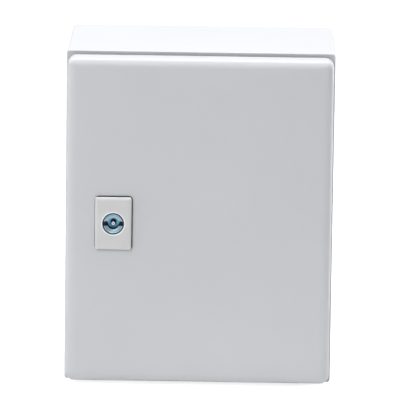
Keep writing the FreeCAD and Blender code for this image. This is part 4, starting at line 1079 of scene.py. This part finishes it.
class ENCLOSURE_OT_hinges(EnclosureOperator, bpy.types.Operator):
    """Add the concealed hinges: cast leaves, pins, screws, studs and nuts"""
    bl_idname = "enclosure.hinges"
    bl_label = "Hinges"

    def execute(self, context):
        sheet, sizes = context.scene.enclosure_sheet, context.scene.enclosure_fasteners
        pitch = (0.0, 0.0, sizes.hinge_pitch)
        screws = (0.0, 0.0, sizes.hinge_screw_pitch)
        for end in ("upper", "lower"):
            refine_node("body_hinge_leaf_" + end, "enclosure", "hinge_diecast", 0.3 * MM)
            refine_node("door_hinge_leaf_" + end, "door", "hinge_diecast", 0.3 * MM)
        for end, side in (("upper", 0.5), ("lower", -0.5)):
            repeat_piece("hinge_pin_" + end + "_turned", self.pin_mesh(), "enclosure", "zinc_steel",
                         (PIVOT_X, PIVOT_Y, side * sizes.hinge_pitch), nodes=("hinge_pin_" + end,))
        leaf = 2.0 * MM
        behind_door = LOCK_Y + sheet.gauge
        body_screw = screw_mesh(M4_THREAD[0], 7.2 * MM, 3.5 * MM, 2.2 * MM, 2.5 * MM)
        # Each row: name, one piece, body, its foot in depth, turn, seed and the node it stands for
        rows = (
            ("hinge_screws", body_screw, "enclosure", -sheet.shoulder - leaf, TO_FRONT, 3,
             "body_hinge_screws"),
            ("hinge_screw_nuts", nut_mesh(*M4_NUT), "enclosure", sheet.gauge - sheet.shoulder, TO_BACK, 5,
             "body_hinge_nuts"),
            ("door_hinge_bolts", stud_mesh(*M4_THREAD, 6.0 * MM), "door", behind_door, TO_BACK, 7,
             "door_hinge_studs"),
            ("door_hinge_bolt_nuts", nut_mesh(*M4_NUT), "door", behind_door + leaf, TO_BACK, 9,
             "door_hinge_nuts"),
        )
        for name, bm, body, foot, turn, seed, node in rows:
            place = (PIVOT_X - sizes.hinge_screw_inward, foot, 0.0)
            repeat_piece(name, bm, body, "zinc_steel", place, turn, pitch, screws, seed, (node,))
        return {"FINISHED"}

    def pin_mesh(self):
        """A hinge pin about its middle, with a head at its upper end."""
        radius, head, half = M4_THREAD[0], 2.8 * MM, 17.3 * MM
        ease, slight = 0.5 * MM, 0.15 * MM
        bm = bmesh.new()
        loft(bm, [turned_ring(r, z, 32) for r, z in (
            (radius - ease, -half), (radius, ease - half), (radius, half), (head - slight, half),
            (head, half + slight), (head, half + 0.6 * MM), (head - ease, half + 1.0 * MM))], caps=True)
        return bm


class ENCLOSURE_OT_plate(EnclosureOperator, bpy.types.Operator):
    """Add the mounting plate with its studs, sleeves, washers and nuts"""
    bl_idname = "enclosure.plate"
    bl_label = "Mounting plate"

    def execute(self, context):
        sizes = context.scene.enclosure_fasteners
        across = (sizes.plate_pitch_x, 0.0, 0.0)
        up = (0.0, 0.0, sizes.plate_pitch_z)
        refine_node("mounting_plate", "enclosure", "galvanised_sheet", 0.3 * MM)
        spacer, plate = 22.0 * MM, 2.0 * MM
        foot = context.scene.enclosure_sheet.gauge
        front = foot + spacer + plate
        rows = (
            ("plate_stud_bars", stud_mesh(*M6_THREAD, 33.0 * MM, 20.0 * MM), foot, "plate_studs"),
            ("plate_sleeves", ring_mesh(6.0 * MM, M6_WASHER[1], spacer), foot, "plate_spacers"),
            ("plate_flat_washers", ring_mesh(*M6_WASHER), front, "plate_washers"),
            ("plate_hex_nuts", nut_mesh(*M6_NUT), front + M6_WASHER[2], "plate_nuts"),
        )
        for seed, (name, bm, forward, node) in enumerate(rows, 1):
            repeat_piece(name, bm, "enclosure", "zinc_steel", (0.0, -forward, 0.0), TO_FRONT,
                         across, up, seed, (node,))
        return {"FINISHED"}


class ENCLOSURE_OT_gland(EnclosureOperator, bpy.types.Operator):
    """Add the gland plate with its gasket, studs, washers and nuts"""
    bl_idname = "enclosure.gland"
    bl_label = "Gland plate"

    def execute(self, context):
        gland = context.scene.enclosure_gland
        across = (gland.pitch_x, 0.0, 0.0)
        inward = (0.0, gland.pitch_y, 0.0)
        middle = -(gland.opening_low + gland.opening_high) / 2
        refine_node("gland_gasket", "enclosure", "seal_rubber", 0.2 * MM)
        refine_node("gland_plate", "enclosure", "body_coat", 0.25 * MM)
        floor = WRAP_LOW[2] + context.scene.enclosure_sheet.gauge
        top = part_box("gland_plate")[1][2]
        rows = (
            ("gland_stud_bars", stud_mesh(*M5_THREAD, 14.0 * MM), floor, "gland_studs"),
            ("gland_flat_washers", ring_mesh(*M5_WASHER), top, "gland_washers"),
            ("gland_hex_nuts", nut_mesh(*M5_NUT), top + M5_WASHER[2], "gland_nuts"),
        )
        for seed, (name, bm, height, node) in enumerate(rows, 1):
            repeat_piece(name, bm, "enclosure", "zinc_steel", (0.0, middle, height), None,
                         across, inward, seed, (node,))
        return {"FINISHED"}


class ENCLOSURE_OT_earth(EnclosureOperator, bpy.types.Operator):
    """Add the earth studs of the body and the door"""
    bl_idname = "enclosure.earth"
    bl_label = "Earth studs"

    def execute(self, context):
        gauge = context.scene.enclosure_sheet.gauge
        # Each stud: label, body, its foot on the sheet, its turn and the way that it points
        studs = (
            ("body", "enclosure", (gauge - WRAP_HIGH[0], -100 * MM, -95 * MM), TO_RIGHT, Vector((1, 0, 0))),
            ("door", "door", (55 * MM, LOCK_Y + gauge, -88 * MM), TO_BACK, Vector((0, 1, 0))),
        )
        for label, body, foot, turn, way in studs:
            rows = (
                ("stud", stud_mesh(*M6_THREAD, 15 * MM), 0.0),
                ("washer", ring_mesh(*M6_WASHER), 0.0),
                ("nut", nut_mesh(*M6_NUT), M6_WASHER[2]),
            )
            for kind, bm, rise in rows:
                node = f"{label}_earth_{kind}"
                repeat_piece(node + "_turned", bm, body, "zinc_steel", Vector(foot) + rise * way, turn,
                             seed=11, nodes=(node,))
        return {"FINISHED"}


class ENCLOSURE_PT_panel(bpy.types.Panel):
    """The enclosure's operators and sizes in the sidebar"""
    bl_idname = "ENCLOSURE_PT_panel"
    bl_label = "Steel wall enclosure"
    bl_space_type = "VIEW_3D"
    bl_region_type = "UI"
    bl_category = "Enclosure"

    def draw(self, context):
        for operator in OPERATORS:
            self.layout.operator(operator.bl_idname)
        for name in GROUPS:
            group = getattr(context.scene, name)
            box = self.layout.box()
            box.label(text=name.replace("_", " ").capitalize())
            for key in group.__annotations__:
                box.prop(group, key)


OPERATORS = (
    ENCLOSURE_OT_stage, ENCLOSURE_OT_body, ENCLOSURE_OT_door, ENCLOSURE_OT_lock,
    ENCLOSURE_OT_hinges, ENCLOSURE_OT_plate, ENCLOSURE_OT_gland, ENCLOSURE_OT_earth,
)
GROUPS = {
    "enclosure_sheet": EnclosureSheetSizes,
    "enclosure_gland": EnclosureGlandSizes,
    "enclosure_fasteners": EnclosureFastenerSizes,
    "enclosure_lock": EnclosureLockSizes,
    "enclosure_colours": EnclosureColours,
    "enclosure_stage": EnclosureStageSettings,
}


def register():
    """Add the classes and hang the property groups on the scene."""
    for group in GROUPS.values():
        bpy.utils.register_class(group)
    for name, group in GROUPS.items():
        setattr(bpy.types.Scene, name, bpy.props.PointerProperty(type=group))
    for item in OPERATORS + (ENCLOSURE_PT_panel,):
        bpy.utils.register_class(item)


def unregister():
    """Take everything off again."""
    for item in reversed(OPERATORS + (ENCLOSURE_PT_panel,)):
        bpy.utils.unregister_class(item)
    for name in GROUPS:
        delattr(bpy.types.Scene, name)
    for group in reversed(list(GROUPS.values())):
        bpy.utils.unregister_class(group)


def main():
    """Register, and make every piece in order."""
    register()
    bpy.ops.enclosure.stage()
    bpy.ops.enclosure.body()
    bpy.ops.enclosure.door()
    bpy.ops.enclosure.lock()
    bpy.ops.enclosure.hinges()
    bpy.ops.enclosure.plate()
    bpy.ops.enclosure.gland()
    bpy.ops.enclosure.earth()


if __name__ == "__main__":
    main()
